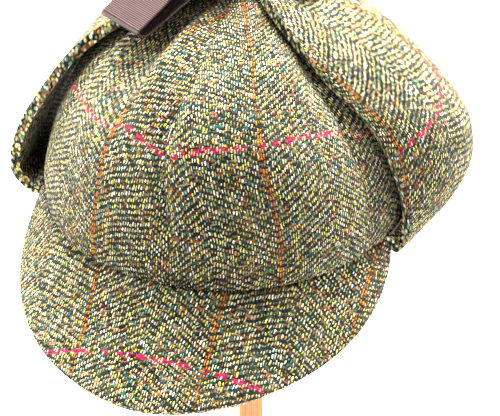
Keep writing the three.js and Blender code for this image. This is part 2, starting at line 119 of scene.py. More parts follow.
RIGHT_FLAP_SECTIONS = [
    {"mid_out": 1.150, "mid_up": 0.000, "edge_out": 1.120, "edge_up": 0.005, "half": 0.87},
    {"mid_out": 1.120, "mid_up": 0.115, "edge_out": 1.125, "edge_up": 0.110, "half": 0.91},
    {"mid_out": 1.071, "mid_up": 0.255, "edge_out": 1.090, "edge_up": 0.240, "half": 0.93},
    {"mid_out": 1.007, "mid_up": 0.395, "edge_out": 1.027, "edge_up": 0.380, "half": 0.93},
    {"mid_out": 0.927, "mid_up": 0.530, "edge_out": 0.946, "edge_up": 0.510, "half": 0.93},
    {"mid_out": 0.837, "mid_up": 0.655, "edge_out": 0.856, "edge_up": 0.635, "half": 0.93},
    {"mid_out": 0.746, "mid_up": 0.775, "edge_out": 0.762, "edge_up": 0.750, "half": 0.94},
    {"mid_out": 0.629, "mid_up": 0.885, "edge_out": 0.644, "edge_up": 0.860, "half": 0.92},
    {"mid_out": 0.485, "mid_up": 0.975, "edge_out": 0.496, "edge_up": 0.955, "half": 0.85},
    {"mid_out": 0.320, "mid_up": 1.045, "edge_out": 0.320, "edge_up": 1.035, "half": 0.68},
    {"mid_out": 0.195, "mid_up": 1.082, "edge_out": 0.195, "edge_up": 1.078, "half": 0.47},
    {"mid_out": 0.115, "mid_up": 1.090, "edge_out": 0.125, "edge_up": 1.090, "half": 0.22},
]
FLAPS = [
    {"name": "ear_flap_left", "side": 1, "sections": LEFT_FLAP_SECTIONS, "cupping": 2.6, "lean": 0.18,
     "cut_across": 50, "cut_along": -87, "slant": -0.45},
    {"name": "ear_flap_right", "side": -1, "sections": RIGHT_FLAP_SECTIONS, "cupping": 2.0, "lean": 0.06,
     "cut_across": 38, "cut_along": -80, "slant": 0},
]

# Bow
KNOT_LENGTH = 22 * MM
KNOT_WIDTH = 20 * MM
KNOT_HEIGHT = 12 * MM
BOW_TURN = 52  # degrees from straight across
LOOP_LENGTH = 62 * MM
LOOP_RISE = 8 * MM
LOOP_RISE_FROM = 0.28  # the stretch of a half wave that the rise follows, knot to fold
LOOP_RISE_TO = 0.88
LOOP_LEAST_RISE = 2.2 * MM
LOOP_DROP_SHARE = 1 / 3  # of a loop, in which its underside comes down from the knot
LOOP_SHARES = [0, 0.2, 0.4, 0.6, 0.8, 0.95]
TAIL_LENGTH = 62 * MM
TAIL_SPLAY = 17  # degrees
TAIL_SWING = 10  # degrees
TAIL_OFFSET = 5 * MM  # of a tail's root from the knot's middle
TIE_LENGTH = 20 * MM
LAID_SHARES = [0, 0.2, 0.4, 0.6, 0.8, 1]
REST_REACH = 6 * MM  # over which the stiff ribbon bridges a dip
REST_GAP = 0.3 * MM
RIBBON_EDGE_ROUND = 0.3 * MM

# The weave: a twill of two over and two under that turns back every column, which makes herringbone
WARP_PITCH = 1.15 * MM
PICK_PITCH = 0.70 * MM
THREADS_PER_COLUMN = 24
PICKS_PER_REPEAT = 4
FLOAT_SHARE = 0.50  # of a repeat that the shortest light float covers
FLOAT_LAG = 0.25  # of a repeat, by which a float may start late
FLOAT_TWIST = 0.08  # how far its ends lean to the sides, in threads
FLOAT_SLIMNESS = (-8.0, -19.0)  # falls in height towards its sides, from the fullest to the slimmest
THREAD_EARLINESS = 0.14  # of a repeat, by which a whole thread may be ahead
THREAD_WANDER = 2.1 * MM  # how far out of line the threads may be drawn
SHARED_RUN = 0.55  # one over the number of threads that share a draw
CRIMSON_SPACING = 76 * MM  # two rows this far apart, then a space twice as wide
CRIMSON_WIDTH = 2.3 * MM
CRIMSON_HIDDEN = 0.25  # share of the threads that hide a crimson row
CRIMSON_PALE = 0.62  # share of the floats on it that keep their own colour
NAP_SHARE = 0.09  # at most, where the nap hides the weave
EDGE_FLOATS = 0.85  # to a warp pitch, where the cloth turns over an edge
EDGE_BARE = 0.22  # share of the floats that are missing there
RIB_PITCH = 0.85 * MM  # of the grosgrain
RING_PITCH = 3.2 * MM  # of the pine
WAVE_RINGS = 3.1  # to the unit, in a Wave texture of scale 1

# How far fibres and grain darken and lighten their colour, as shares of it. For the ribbon this is painted
# shade in the grooves between its ribs and a painted highlight on their crests, along with the slubs' own
# tone.
FIBRE_TONES = (0.12, 1.92)
RIB_SHADE_AND_SLUB_TONES = (0.08, 1.9)
PINE_TONES = (0.86, 1.08)

# How deep the relief of a finish is
WEAVE_RELIEF = 0.55 * MM
EDGE_RELIEF = 0.5 * MM
RIB_RELIEF = 0.3 * MM
GRAIN_RELIEF = 0.05 * MM

# Noise, in spots to the metre. Real fibres are 0.03 mm thick, too fine to show, and are drawn coarser.
STRAY_SPOTS = 210.0  # the weave wanders over 5 mm
FIBRE_SPOTS = 2800.0  # 0.36 mm
NAP_SPOTS = 55.0  # 18 mm
SLUB_SPOTS = 1400.0  # 0.7 mm
RIBBON_FIBRE_SPOTS = 3000.0  # 0.33 mm
GRAIN_BEND_SPOTS = 60.0  # 17 mm
PINE_FIBRE_SPOTS = 2200.0  # 0.45 mm

MIX_A, MIX_B, MIX_RESULT = 6, 7, 2  # the colour sockets of a Mix node

# Soft unevenness of the cloth
SEAM_SPREAD = 2.6 * MM
RIM_LAP = 0.6 * MM  # how far the crown's edge comes down onto what is sewn to it
RIM_LAP_RISE = 0.03  # share of the way up over which it does
GROOVE_DEPTH = 1.1 * MM  # of the seam along the rim
GROOVE_SPREAD = 2.6 * MM
PUCKER_SCALE = 70  # to the metre: 14 mm
PUCKER_DEPTH = 0.9 * MM
PUCKER_REACH = 9 * MM  # to each side of a seam
RIPPLE_SCALE = 26  # to the metre: 38 mm
RIPPLE_DEPTH = 1.3 * MM
PEAK_WAVE = 1.2 * MM
FLAP_RIPPLE = 1.2 * MM
RIBBON_WAVE = 0.35 * MM
ROUNDED_FROM = 55  # degrees between two faces, from which an edge is rounded

# How finely the ribbon and the knot are divided
RIBBON_COLUMNS = 12
LOOP_STEPS = 90
TAIL_STEPS = 48
TIE_STEPS = 20
KNOT_CUTS = 15
KNOT_PINCH = 0.16  # how much narrower its middle is
KNOT_CREASE = 0.07
KNOT_FOLDS = 3
KNOT_SLANT = 1.3  # of its creases
KNOT_SQUARENESS = 4  # 2 is an ellipsoid, and more is squarer

# Stand: eased and rounded edges, and how finely it is turned
FOOT_EASE = 0.8 * MM
FOOT_ROUND = 5 * MM
FOOT_STEPS = 10
DOME_STEPS = 24
TURNED_STEPS = 96
POST_TURN = math.radians(36)
POST_EASE = 0.6 * MM

# Stage
FLOOR_REACH = 6
WORLD_COLOUR = "FFFFFF"
WORLD_STRENGTH = 0.16
LAMP_TARGET = Vector((0, 0, 0.26))
LAMPS = [
    {"name": "key_above", "at": (-0.15, -0.20, 1.35), "size": 0.8, "watts": 19, "colour": "FFFFFF"},
    {"name": "key_back", "at": (-0.10, 0.42, 1.35), "size": 0.6, "watts": 78, "colour": "FFFFFF"},
    {"name": "side_left", "at": (-1.10, -0.15, 0.85), "size": 0.7, "watts": 24, "colour": "FFFFFF"},
    {"name": "side_right", "at": (0.85, 0.88, 0.80), "size": 0.6, "watts": 50, "colour": "FFFFFF"},
]
CAMERA_PLACE = Vector((0.1548, -0.6243, 0.5829))
CAMERA_TARGET = Vector((0.0067, -0.0202, 0.2244))
CAMERA_LENS = 113.9
CAMERA_SENSOR = 36


class HatSizes(bpy.types.PropertyGroup):
    """Sizes of the hat"""

    head_length: FloatProperty(name="Head Length", description="Inside the cloth, front to back",
                               default=198 * MM, unit="LENGTH")
    head_width: FloatProperty(name="Head Width", description="Inside the cloth, side to side",
                              default=164 * MM, unit="LENGTH")
    crown_height: FloatProperty(name="Crown Height", description="From the rim to the top",
                                default=92 * MM, unit="LENGTH")
    crown_cloth: FloatProperty(name="Crown Cloth", description="Thickness of a crown panel",
                               default=2.2 * MM, unit="LENGTH")
    panel_puff: FloatProperty(name="Panel Puff", description="How far a panel stands out between its seams",
                              default=2.5 * MM, unit="LENGTH")
    seam_depth: FloatProperty(name="Seam Depth", description="How far the cloth sinks in along a seam",
                              default=1.1 * MM, unit="LENGTH")
    peak_depth: FloatProperty(name="Peak Depth", description="From the rim to the edge, at the middle",
                              default=54 * MM, unit="LENGTH")
    peak_cloth: FloatProperty(name="Peak Cloth", description="Thickness of a stiffened peak",
                              default=3.4 * MM, unit="LENGTH")
    flap_width: FloatProperty(name="Flap Width", description="Across an ear flap",
                              default=80 * MM, unit="LENGTH")
    flap_cloth: FloatProperty(name="Flap Cloth", description="Thickness of a padded ear flap",
                              default=4.6 * MM, unit="LENGTH")
    flap_fold: FloatProperty(name="Flap Fold", description="How far the edge runs out before it turns up",
                             default=7 * MM, unit="LENGTH")
    flap_sag: FloatProperty(name="Flap Sag", description="How far the fold hangs below the sewn edge",
                            default=3 * MM, unit="LENGTH")
    ribbon_width: FloatProperty(name="Ribbon Width", description="Across the ribbon",
                                default=26 * MM, unit="LENGTH")
    ribbon_cloth: FloatProperty(name="Ribbon Cloth", description="Thickness of the ribbon",
                                default=1.0 * MM, unit="LENGTH")
    seam_gap: FloatProperty(name="Seam Gap", description="Between the rim and what is sewn to it",
                            default=0.35 * MM, unit="LENGTH")
    tilt: FloatProperty(name="Tilt", description="The wearer's left side down",
                        default=math.radians(2.5), subtype="ANGLE")
    shift: FloatProperty(name="Shift", description="How far it sits to the wearer's right of the stand",
                         default=3 * MM, unit="LENGTH")
    clearance: FloatProperty(name="Clearance", description="Between the stand's head and the crown",
                             default=0.7 * MM, unit="LENGTH")


class HatColours(bpy.types.PropertyGroup):
    """Colours of the hat and its stand, as sRGB"""

    ribbon: FloatVectorProperty(name="Ribbon", description="Grosgrain ribbon", subtype="COLOR_GAMMA",
                                default=(0.29, 0.20, 0.185))
    pine: FloatVectorProperty(name="Pine", description="Sanded pine between its grain lines",
                              subtype="COLOR_GAMMA", default=(0.80, 0.53, 0.29))
    floor: FloatVectorProperty(name="Floor", description="Floor of the stage", subtype="COLOR_GAMMA",
                               default=(0.97, 0.97, 0.97))


def linear(colour):
    """An sRGB hex string such as "C8B27A", or three sRGB shares, as a linear colour with alpha."""
    if isinstance(colour, str):
        colour = [int(colour[at:at + 2], 16) / 255 for at in (0, 2, 4)]
    return [c / 12.92 if c <= 0.04045 else ((c + 0.055) / 1.055) ** 2.4 for c in colour] + [1.0]


def add_node(tree, kind, inputs=None, **settings):
    """Adds a node. An input takes a value, a socket, or another node, whose first output it takes."""
    node = tree.nodes.new(kind)
    for name, value in settings.items():
        setattr(node, name, value)
    for socket, value in (inputs or {}).items():
        if isinstance(value, bpy.types.Node):
            value = value.outputs[0]
        if isinstance(value, bpy.types.NodeSocket):
            tree.links.new(value, node.inputs[socket])
        else:
            node.inputs[socket].default_value = value
    return node


def fill_ramp(node, stops, interpolation="CONSTANT"):
    """Gives a Color Ramp its (position, hex) stops."""
    ramp = node.color_ramp
    ramp.interpolation = interpolation
    while len(ramp.elements) > 1:
        ramp.elements.remove(ramp.elements[-1])
    ramp.elements[0].position = stops[0][0]
    ramp.elements[0].color = linear(stops[0][1])
    for position, colour in stops[1:]:
        ramp.elements.new(position).color = linear(colour)
    return node


def new_material(name, **shader):
    """A material with a Principled shader whose sockets are set directly."""
    material = bpy.data.materials.new(name)
    material.use_nodes = True
    tree = material.node_tree
    tree.nodes.clear()
    principled = add_node(tree, "ShaderNodeBsdfPrincipled", shader)
    add_node(tree, "ShaderNodeOutputMaterial", {"Surface": principled})
    return material, tree, principled


# Wool scatters light: it has next to no gloss, and a faint fuzz
WOOL = {"Roughness": 0.95, "Specular IOR Level": 0.1, "Sheen Weight": 0.06, "Sheen Roughness": 0.6}

# Yarns of the tweed, spun from fibres of many colours: a light warp over a dark weft, with flecks. The
# orange ones are warp threads and the crimson ones are picks.
LIGHT_YARNS = [
    (0.00, "DDD596"), (0.15, "E6DE74"), (0.25, "F3EED0"), (0.35, "A9AC80"), (0.47, "D2C694"),
    (0.57, "8A9A86"), (0.64, "FFFFF2"), (0.71, "A0A55A"), (0.78, "D09A58"), (0.85, "8C5A3C"),
    (0.90, "548A80"), (0.94, "6E6A3C"), (0.97, "ECD63C"),
]
DARK_YARNS = [
    (0.00, "080B09"), (0.25, "101E18"), (0.41, "171510"), (0.53, "0D2721"), (0.62, "2D1E16"),
    (0.71, "34432A"), (0.79, "56331E"), (0.86, "28524B"), (0.91, "836D46"), (0.96, "8E4A2A"),
]
ORANGE_YARNS = [(0.0, "F8941E"), (0.35, "E67C14"), (0.6, "FFB04A"), (0.8, "C07020")]
CRIMSON_YARNS = [(0.0, "98103E"), (0.4, "B41C4C"), (0.7, "700C32")]
NAP_COLOUR = "8A8462"

# Pine across one ring, from early wood to late wood and back
PINE_RING = [(0.0, "D29357"), (0.55, "CC884A"), (0.86, "B87434"), (0.95, "9A5420"), (1.0, "C4823F")]


def tweed_material():
    """Wool tweed, woven herringbone: rough, dry, faintly fuzzy, with no gloss at all."""
    material, tree, principled = new_material("herringbone_tweed", **WOOL)
    uv = add_node(tree, "ShaderNodeUVMap", uv_map="cloth")
    stray = add_node(tree, "ShaderNodeTexNoise", {"Vector": uv, "Scale": STRAY_SPOTS, "Detail": 3.0,
                                                  "Roughness": 0.65})
    strayed = add_node(tree, "ShaderNodeVectorMath", {0: stray.outputs["Color"], 1: (0.5, 0.5, 0.5)},
                       operation="SUBTRACT")
    wandering = add_node(tree, "ShaderNodeVectorMath", {0: strayed, "Scale": THREAD_WANDER},
                         operation="SCALE")
    place = add_node(tree, "ShaderNodeVectorMath", {0: uv, 1: wandering}, operation="ADD")
    axes = add_node(tree, "ShaderNodeSeparateXYZ", {0: place})
    across, along = axes.outputs["X"], axes.outputs["Y"]

    # Which warp thread, and which repeat of the twill along it
    repeats = add_node(tree, "ShaderNodeMath", {0: along, 1: PICK_PITCH * PICKS_PER_REPEAT},
                       operation="DIVIDE")
    straight = add_node(tree, "ShaderNodeMath", {0: across, 1: WARP_PITCH}, operation="DIVIDE")
    thread = add_node(tree, "ShaderNodeMath", {0: straight}, operation="FLOOR")
    middle = add_node(tree, "ShaderNodeMath", {0: thread, 1: 0.5}, operation="ADD")
    climb = add_node(tree, "ShaderNodeMath", {0: middle, 1: float(THREADS_PER_COLUMN)}, operation="PINGPONG")
    climbed = add_node(tree, "ShaderNodeMath", {0: climb, 1: 1 / PICKS_PER_REPEAT}, operation="MULTIPLY")
    thread_draw = add_node(tree, "ShaderNodeTexWhiteNoise", {"W": thread}, noise_dimensions="1D")
    early = add_node(tree, "ShaderNodeMath",
                     {0: thread_draw.outputs["Value"], 1: THREAD_EARLINESS, 2: climbed},
                     operation="MULTIPLY_ADD")
    repeat = add_node(tree, "ShaderNodeMath", {0: repeats, 1: early}, operation="SUBTRACT")
    repeat_number = add_node(tree, "ShaderNodeMath", {0: repeat}, operation="FLOOR")
    phase = add_node(tree, "ShaderNodeMath", {0: repeat}, operation="FRACT")
    cell = add_node(tree, "ShaderNodeCombineXYZ", {0: thread, 1: repeat_number})
    float_draw = add_node(tree, "ShaderNodeTexWhiteNoise", {"Vector": cell}, noise_dimensions="2D")
    second_draw = add_node(tree, "ShaderNodeSeparateColor", {0: float_draw.outputs["Color"]})

    # The light floats: each lies over much of a repeat, and leans with its twist
    start = add_node(tree, "ShaderNodeMath", {0: second_draw.outputs["Red"], 1: FLOAT_LAG},
                     operation="MULTIPLY")
    end = add_node(tree, "ShaderNodeMath",
                   {0: second_draw.outputs["Blue"], 1: 1 - FLOAT_SHARE, 2: FLOAT_SHARE},
                   operation="MULTIPLY_ADD")
    stretch = add_node(tree, "ShaderNodeMapRange", {0: phase, 1: start, 2: end, 3: -1.0, 4: 1.0}, clamp=False)
    side = add_node(tree, "ShaderNodeMath", {0: straight, 1: middle}, operation="SUBTRACT")
    twist = add_node(tree, "ShaderNodeMath", {0: stretch, 1: -FLOAT_TWIST, 2: side}, operation="MULTIPLY_ADD")
    side_square = add_node(tree, "ShaderNodeMath", {0: twist, 1: 2.0}, operation="POWER")
    slimness = add_node(tree, "ShaderNodeMapRange",
                        {0: second_draw.outputs["Green"], 3: FLOAT_SLIMNESS[0], 4: FLOAT_SLIMNESS[1]})
    round_side = add_node(tree, "ShaderNodeMath", {0: side_square, 1: slimness, 2: 1.0},
                          operation="MULTIPLY_ADD")
    end_square = add_node(tree, "ShaderNodeMath", {0: stretch, 1: 2.0}, operation="POWER")
    round_end = add_node(tree, "ShaderNodeMath", {0: 1.0, 1: end_square}, operation="SUBTRACT",
                         use_clamp=True)
    bulge = add_node(tree, "ShaderNodeMath", {0: round_side, 1: round_end}, operation="MULTIPLY",
                     use_clamp=True)
    float_mask = add_node(tree, "ShaderNodeMapRange", {0: bulge, 1: 0.05, 2: 0.45},
                          interpolation_type="SMOOTHSTEP")

    # Colours thread by thread
    light = fill_ramp(add_node(tree, "ShaderNodeValToRGB", {0: float_draw.outputs["Value"]}), LIGHT_YARNS)
    picks = add_node(tree, "ShaderNodeMath", {0: along, 1: PICK_PITCH}, operation="DIVIDE")
    pick = add_node(tree, "ShaderNodeMath", {0: picks}, operation="FLOOR")
    run = add_node(tree, "ShaderNodeMath", {0: straight, 1: SHARED_RUN}, operation="MULTIPLY")
    run_number = add_node(tree, "ShaderNodeMath", {0: run}, operation="FLOOR")
    dark_cell = add_node(tree, "ShaderNodeCombineXYZ", {0: run_number, 1: pick, 2: 7.0})
    dark_draw = add_node(tree, "ShaderNodeTexWhiteNoise", {"Vector": dark_cell}, noise_dimensions="3D")
    dark = fill_ramp(add_node(tree, "ShaderNodeValToRGB", {0: dark_draw.outputs["Value"]}), DARK_YARNS)

    # The overchecks: two orange warp threads at every other turn of the twill, and crimson picks
    orange_repeat = add_node(tree, "ShaderNodeMath", {0: middle, 1: 2.0 * THREADS_PER_COLUMN},
                             operation="FLOORED_MODULO")
    orange_side = add_node(tree, "ShaderNodeMath", {0: orange_repeat, 1: 1.0 * THREADS_PER_COLUMN},
                           operation="SUBTRACT")
    orange_distance = add_node(tree, "ShaderNodeMath", {0: orange_side}, operation="ABSOLUTE")
    is_orange = add_node(tree, "ShaderNodeMath", {0: orange_distance, 1: THREADS_PER_COLUMN - 1.0},
                         operation="GREATER_THAN")
    orange_draw = fill_ramp(add_node(tree, "ShaderNodeValToRGB", {0: float_draw.outputs["Value"]}),
                            ORANGE_YARNS)
    light_checked = add_node(tree, "ShaderNodeMix", {0: is_orange, MIX_A: light, MIX_B: orange_draw},
                             data_type="RGBA")
    crimson_repeat = add_node(tree, "ShaderNodeMath", {0: along, 1: 3 * CRIMSON_SPACING},
                              operation="FLOORED_MODULO")
    early_rows = add_node(tree, "ShaderNodeMath", {0: crimson_repeat, 1: CRIMSON_WIDTH},
                          operation="LESS_THAN")
    late_side = add_node(tree, "ShaderNodeMath",
                         {0: crimson_repeat, 1: 2 * CRIMSON_SPACING + CRIMSON_WIDTH / 2},
                         operation="SUBTRACT")
    late_distance = add_node(tree, "ShaderNodeMath", {0: late_side}, operation="ABSOLUTE")
    late_rows = add_node(tree, "ShaderNodeMath", {0: late_distance, 1: CRIMSON_WIDTH / 2},
                         operation="LESS_THAN")
    crimson_rows = add_node(tree, "ShaderNodeMath", {0: early_rows, 1: late_rows}, operation="MAXIMUM")
    pair = add_node(tree, "ShaderNodeMath", {0: thread, 1: SHARED_RUN}, operation="MULTIPLY")
    pair_number = add_node(tree, "ShaderNodeMath", {0: pair}, operation="FLOOR")
    pair_draw = add_node(tree, "ShaderNodeTexWhiteNoise", {"W": pair_number}, noise_dimensions="1D")
    on_top = add_node(tree, "ShaderNodeMath", {0: pair_draw.outputs["Value"], 1: CRIMSON_HIDDEN},
                      operation="GREATER_THAN")
    is_crimson = add_node(tree, "ShaderNodeMath", {0: crimson_rows, 1: on_top}, operation="MULTIPLY")
    crimson_draw = fill_ramp(add_node(tree, "ShaderNodeValToRGB", {0: dark_draw.outputs["Value"]}),
                             CRIMSON_YARNS)
    dark_checked = add_node(tree, "ShaderNodeMix", {0: is_crimson, MIX_A: dark, MIX_B: crimson_draw},
                            data_type="RGBA")
    dyed_through = add_node(tree, "ShaderNodeMath", {0: second_draw.outputs["Red"], 1: CRIMSON_PALE},
                            operation="GREATER_THAN")
    crimson_float = add_node(tree, "ShaderNodeMath", {0: dyed_through, 1: is_crimson}, operation="MULTIPLY")
    light_dyed = add_node(tree, "ShaderNodeMix", {0: crimson_float, MIX_A: light_checked.outputs[MIX_RESULT],
                                                  MIX_B: crimson_draw}, data_type="RGBA")
    woven = add_node(tree, "ShaderNodeMix",
                     {0: float_mask, MIX_A: dark_checked.outputs[MIX_RESULT],
                      MIX_B: light_dyed.outputs[MIX_RESULT]}, data_type="RGBA")

    # Loose fibres: fine streaks over everything, and patches where the nap hides the weave
    fibre_scale = add_node(tree, "ShaderNodeMapping", {"Vector": place, "Scale": (1.0, 0.35, 1.0)})
    fibres = add_node(tree, "ShaderNodeTexNoise", {"Vector": fibre_scale, "Scale": FIBRE_SPOTS,
                                                   "Detail": 3.5})
    fibre_tone = add_node(tree, "ShaderNodeMapRange",
                          {0: fibres, 1: 0.3, 2: 0.72, 3: FIBRE_TONES[0], 4: FIBRE_TONES[1]})
    toned = add_node(tree, "ShaderNodeVectorMath", {0: woven.outputs[MIX_RESULT], "Scale": fibre_tone},
                     operation="SCALE")
    patches = add_node(tree, "ShaderNodeTexNoise", {"Vector": uv, "Scale": NAP_SPOTS, "Detail": 4.0})
    nap = add_node(tree, "ShaderNodeMapRange", {0: patches, 1: 0.45, 2: 0.75, 3: 0.0, 4: NAP_SHARE})
    napped = add_node(tree, "ShaderNodeMix", {0: nap, MIX_A: toned, MIX_B: linear(NAP_COLOUR)},
                      data_type="RGBA")
    tree.links.new(napped.outputs[MIX_RESULT], principled.inputs["Base Color"])

    # Relief: round floats over round picks, and fibre fuzz
    pick_phase = add_node(tree, "ShaderNodeMath", {0: picks}, operation="FRACT")
    pick_side = add_node(tree, "ShaderNodeMath", {0: pick_phase, 1: 0.5}, operation="SUBTRACT")
    pick_square = add_node(tree, "ShaderNodeMath", {0: pick_side, 1: 2.0}, operation="POWER")
    pick_round = add_node(tree, "ShaderNodeMath", {0: pick_square, 1: -1.4, 2: 0.4},
                          operation="MULTIPLY_ADD")
    relief = add_node(tree, "ShaderNodeMath", {0: bulge, 1: pick_round}, operation="MAXIMUM")
    fuzzy = add_node(tree, "ShaderNodeMath", {0: fibres, 1: 0.5, 2: relief}, operation="MULTIPLY_ADD")
    bump = add_node(tree, "ShaderNodeBump", {"Height": fuzzy, "Distance": WEAVE_RELIEF, "Strength": 0.9})
    tree.links.new(bump.outputs[0], principled.inputs["Normal"])
    return material


def tweed_edge_material():
    """The same tweed where it turns over an edge: floats crowd together there in no order."""
    material, tree, principled = new_material("tweed_turned_edge", **WOOL)
    place = add_node(tree, "ShaderNodeTexCoord").outputs["Object"]
    squashed = add_node(tree, "ShaderNodeMapping", {"Vector": place, "Scale": (1.0, 1.0, 0.62)})
    floats = add_node(tree, "ShaderNodeTexVoronoi", {"Vector": squashed, "Scale": EDGE_FLOATS / WARP_PITCH})
    draw = add_node(tree, "ShaderNodeSeparateColor", {0: floats.outputs["Color"]})
    light = fill_ramp(add_node(tree, "ShaderNodeValToRGB", {0: draw.outputs["Red"]}), LIGHT_YARNS)
    dark = fill_ramp(add_node(tree, "ShaderNodeValToRGB", {0: draw.outputs["Green"]}), DARK_YARNS)
    near = add_node(tree, "ShaderNodeMapRange", {0: floats.outputs["Distance"], 1: 0.66, 2: 0.34})
    taken = add_node(tree, "ShaderNodeMath", {0: draw.outputs["Blue"], 1: EDGE_BARE},
                     operation="GREATER_THAN")
    shown = add_node(tree, "ShaderNodeMath", {0: near, 1: taken}, operation="MULTIPLY")
    mixed = add_node(tree, "ShaderNodeMix", {0: shown, MIX_A: dark, MIX_B: light}, data_type="RGBA")
    tree.links.new(mixed.outputs[MIX_RESULT], principled.inputs["Base Color"])
    bump = add_node(tree, "ShaderNodeBump", {"Height": shown, "Distance": EDGE_RELIEF, "Strength": 0.9})
    tree.links.new(bump.outputs[0], principled.inputs["Normal"])
    return material


def grosgrain_material():
    """Rayon grosgrain, woven with fine ribs across the ribbon, each with a soft satin gloss. Its colour has a
    painted highlight on each rib's crest and painted shade between the ribs.
    """
    material, tree, principled = new_material(
        "brown_grosgrain", **{"Roughness": 0.6, "Specular IOR Level": 0.25, "Sheen Weight": 0.05,
                              "Sheen Roughness": 0.35})
    colours = bpy.context.scene.hat_colours
    uv = add_node(tree, "ShaderNodeUVMap", uv_map="cloth")
    axes = add_node(tree, "ShaderNodeSeparateXYZ", {0: uv})
    ribs = add_node(tree, "ShaderNodeMath", {0: axes.outputs["Y"], 1: 2 * math.pi / RIB_PITCH},
                    operation="MULTIPLY")
    wave = add_node(tree, "ShaderNodeMath", {0: ribs}, operation="SINE")
    stretched = add_node(tree, "ShaderNodeMapping", {"Vector": uv, "Scale": (0.08, 1.0, 1.0)})
    slubs = add_node(tree, "ShaderNodeTexNoise", {"Vector": stretched, "Scale": SLUB_SPOTS, "Detail": 2.0})
    threads = add_node(tree, "ShaderNodeTexNoise", {"Vector": uv, "Scale": RIBBON_FIBRE_SPOTS, "Detail": 1.0})
    height = add_node(tree, "ShaderNodeMath", {0: slubs, 1: 1.2, 2: wave}, operation="MULTIPLY_ADD")
    # Painted shade and highlight: the colour darkens in the grooves between the ribs and lightens on their
    # crests, and also varies with the slubs' own tone.
    tone = add_node(tree, "ShaderNodeMapRange",
                    {0: height, 1: -0.6, 2: 1.8, 3: RIB_SHADE_AND_SLUB_TONES[0], 4: RIB_SHADE_AND_SLUB_TONES[1]})
    speckle = add_node(tree, "ShaderNodeMapRange", {0: threads, 1: 0.3, 2: 0.7, 3: 0.8, 4: 1.2})
    both = add_node(tree, "ShaderNodeMath", {0: tone, 1: speckle}, operation="MULTIPLY")
    toned = add_node(tree, "ShaderNodeVectorMath", {0: linear(colours.ribbon)[:3], "Scale": both},
                     operation="SCALE")
    tree.links.new(toned.outputs[0], principled.inputs["Base Color"])
    bump = add_node(tree, "ShaderNodeBump", {"Height": height, "Distance": RIB_RELIEF, "Strength": 1.0})
    tree.links.new(bump.outputs[0], principled.inputs["Normal"])
    return material


def pine_material():
    """Sanded pine under a thin satin varnish: warm, with darker late-wood lines along the grain."""
    material, tree, principled = new_material(
        "sanded_pine", **{"Roughness": 0.42, "Specular IOR Level": 0.4, "Coat Weight": 0.15,
                          "Coat Roughness": 0.3})
    colours = bpy.context.scene.hat_colours
    place = add_node(tree, "ShaderNodeTexCoord").outputs["Object"]
    along_grain = add_node(tree, "ShaderNodeMapping",
                           {"Vector": place, "Location": (0.031, 0.017, 0.0), "Scale": (1.0, 1.0, 0.05)})
    bent = add_node(tree, "ShaderNodeTexNoise", {"Vector": along_grain, "Scale": GRAIN_BEND_SPOTS,
                                                 "Detail": 2.0})
    shifted = add_node(tree, "ShaderNodeVectorMath", {0: bent.outputs["Color"], "Scale": 0.006},
                       operation="SCALE")
    grain_place = add_node(tree, "ShaderNodeVectorMath", {0: along_grain, 1: shifted}, operation="ADD")
    rings = add_node(tree, "ShaderNodeTexWave", {"Vector": grain_place, "Scale": 1 / RING_PITCH / WAVE_RINGS,
                                                 "Distortion": 0.8, "Detail": 2.0},
                     wave_type="RINGS", rings_direction="Z", wave_profile="SAW")
    ramp = fill_ramp(add_node(tree, "ShaderNodeValToRGB", {0: rings.outputs["Fac"]}), PINE_RING, "LINEAR")
    fine_scale = add_node(tree, "ShaderNodeMapping", {"Vector": place, "Scale": (1.0, 1.0, 0.03)})
    fine = add_node(tree, "ShaderNodeTexNoise", {"Vector": fine_scale, "Scale": PINE_FIBRE_SPOTS,
                                                 "Detail": 3.0})
    fine_tone = add_node(tree, "ShaderNodeMapRange",
                         {0: fine, 1: 0.3, 2: 0.7, 3: PINE_TONES[0], 4: PINE_TONES[1]})
    tint = add_node(tree, "ShaderNodeMix", {0: 0.35, MIX_A: ramp, MIX_B: linear(colours.pine)},
                    data_type="RGBA")
    toned = add_node(tree, "ShaderNodeVectorMath", {0: tint.outputs[MIX_RESULT], "Scale": fine_tone},
                     operation="SCALE")
    tree.links.new(toned.outputs[0], principled.inputs["Base Color"])
    bump = add_node(tree, "ShaderNodeBump", {"Height": fine, "Distance": GRAIN_RELIEF, "Strength": 0.5})
    tree.links.new(bump.outputs[0], principled.inputs["Normal"])
    return material


def shared_material(name, make):
    """The material of that name, made the first time it is asked for."""
    return bpy.data.materials.get(name) or make()


def finished_piece(name, bm, material, nodes, place=None):
    """Turns a bmesh into a piece that rides with the stand and stands for its CAD nodes."""
    mesh = bpy.data.meshes.new(name)
    if place is not None:
        bmesh.ops.transform(bm, matrix=place, verts=bm.verts)
    bm.to_mesh(mesh)
    bm.free()
    mesh.polygons.foreach_set("use_smooth", [True] * len(mesh.polygons))
    mesh.materials.append(material)
    piece = bpy.data.objects.new(name, mesh)
    bpy.context.scene.collection.objects.link(piece)
    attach(piece, "root")
    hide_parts(*nodes)
    return piece


def cloth_grid(points, flat, facing):
    """A sheet from a grid of points, with a UV map in metres. flat gives each point's place on the cut."""
    columns, rows = len(points) - 1, len(points[0]) - 1
    bm = bmesh.new()
    bmesh.ops.create_grid(bm, x_segments=columns, y_segments=rows, size=0.5)
    uv = bm.loops.layers.uv.new("cloth")
    spots = {vert: (round((vert.co.x + 0.5) * columns), round((vert.co.y + 0.5) * rows))
             for vert in bm.verts}
    for face in bm.faces:
        for loop in face.loops:
            column, row = spots[loop.vert]
            loop[uv].uv = flat[column][row]
    for vert, (column, row) in spots.items():
        vert.co = points[column][row]
    if facing < 0:
        bmesh.ops.reverse_faces(bm, faces=bm.faces)
    return bm


def grid_of(point, columns, rows, crowding=0.0):
    """Points for columns and rows that run from 0 to 1. crowding draws the columns to the two edges."""
    def eased(share):
        return (1 - crowding) * share + crowding * (0.5 - 0.5 * math.cos(math.pi * share))
    return [[point(eased(column / columns), row / rows) for row in range(rows + 1)]
            for column in range(columns + 1)]


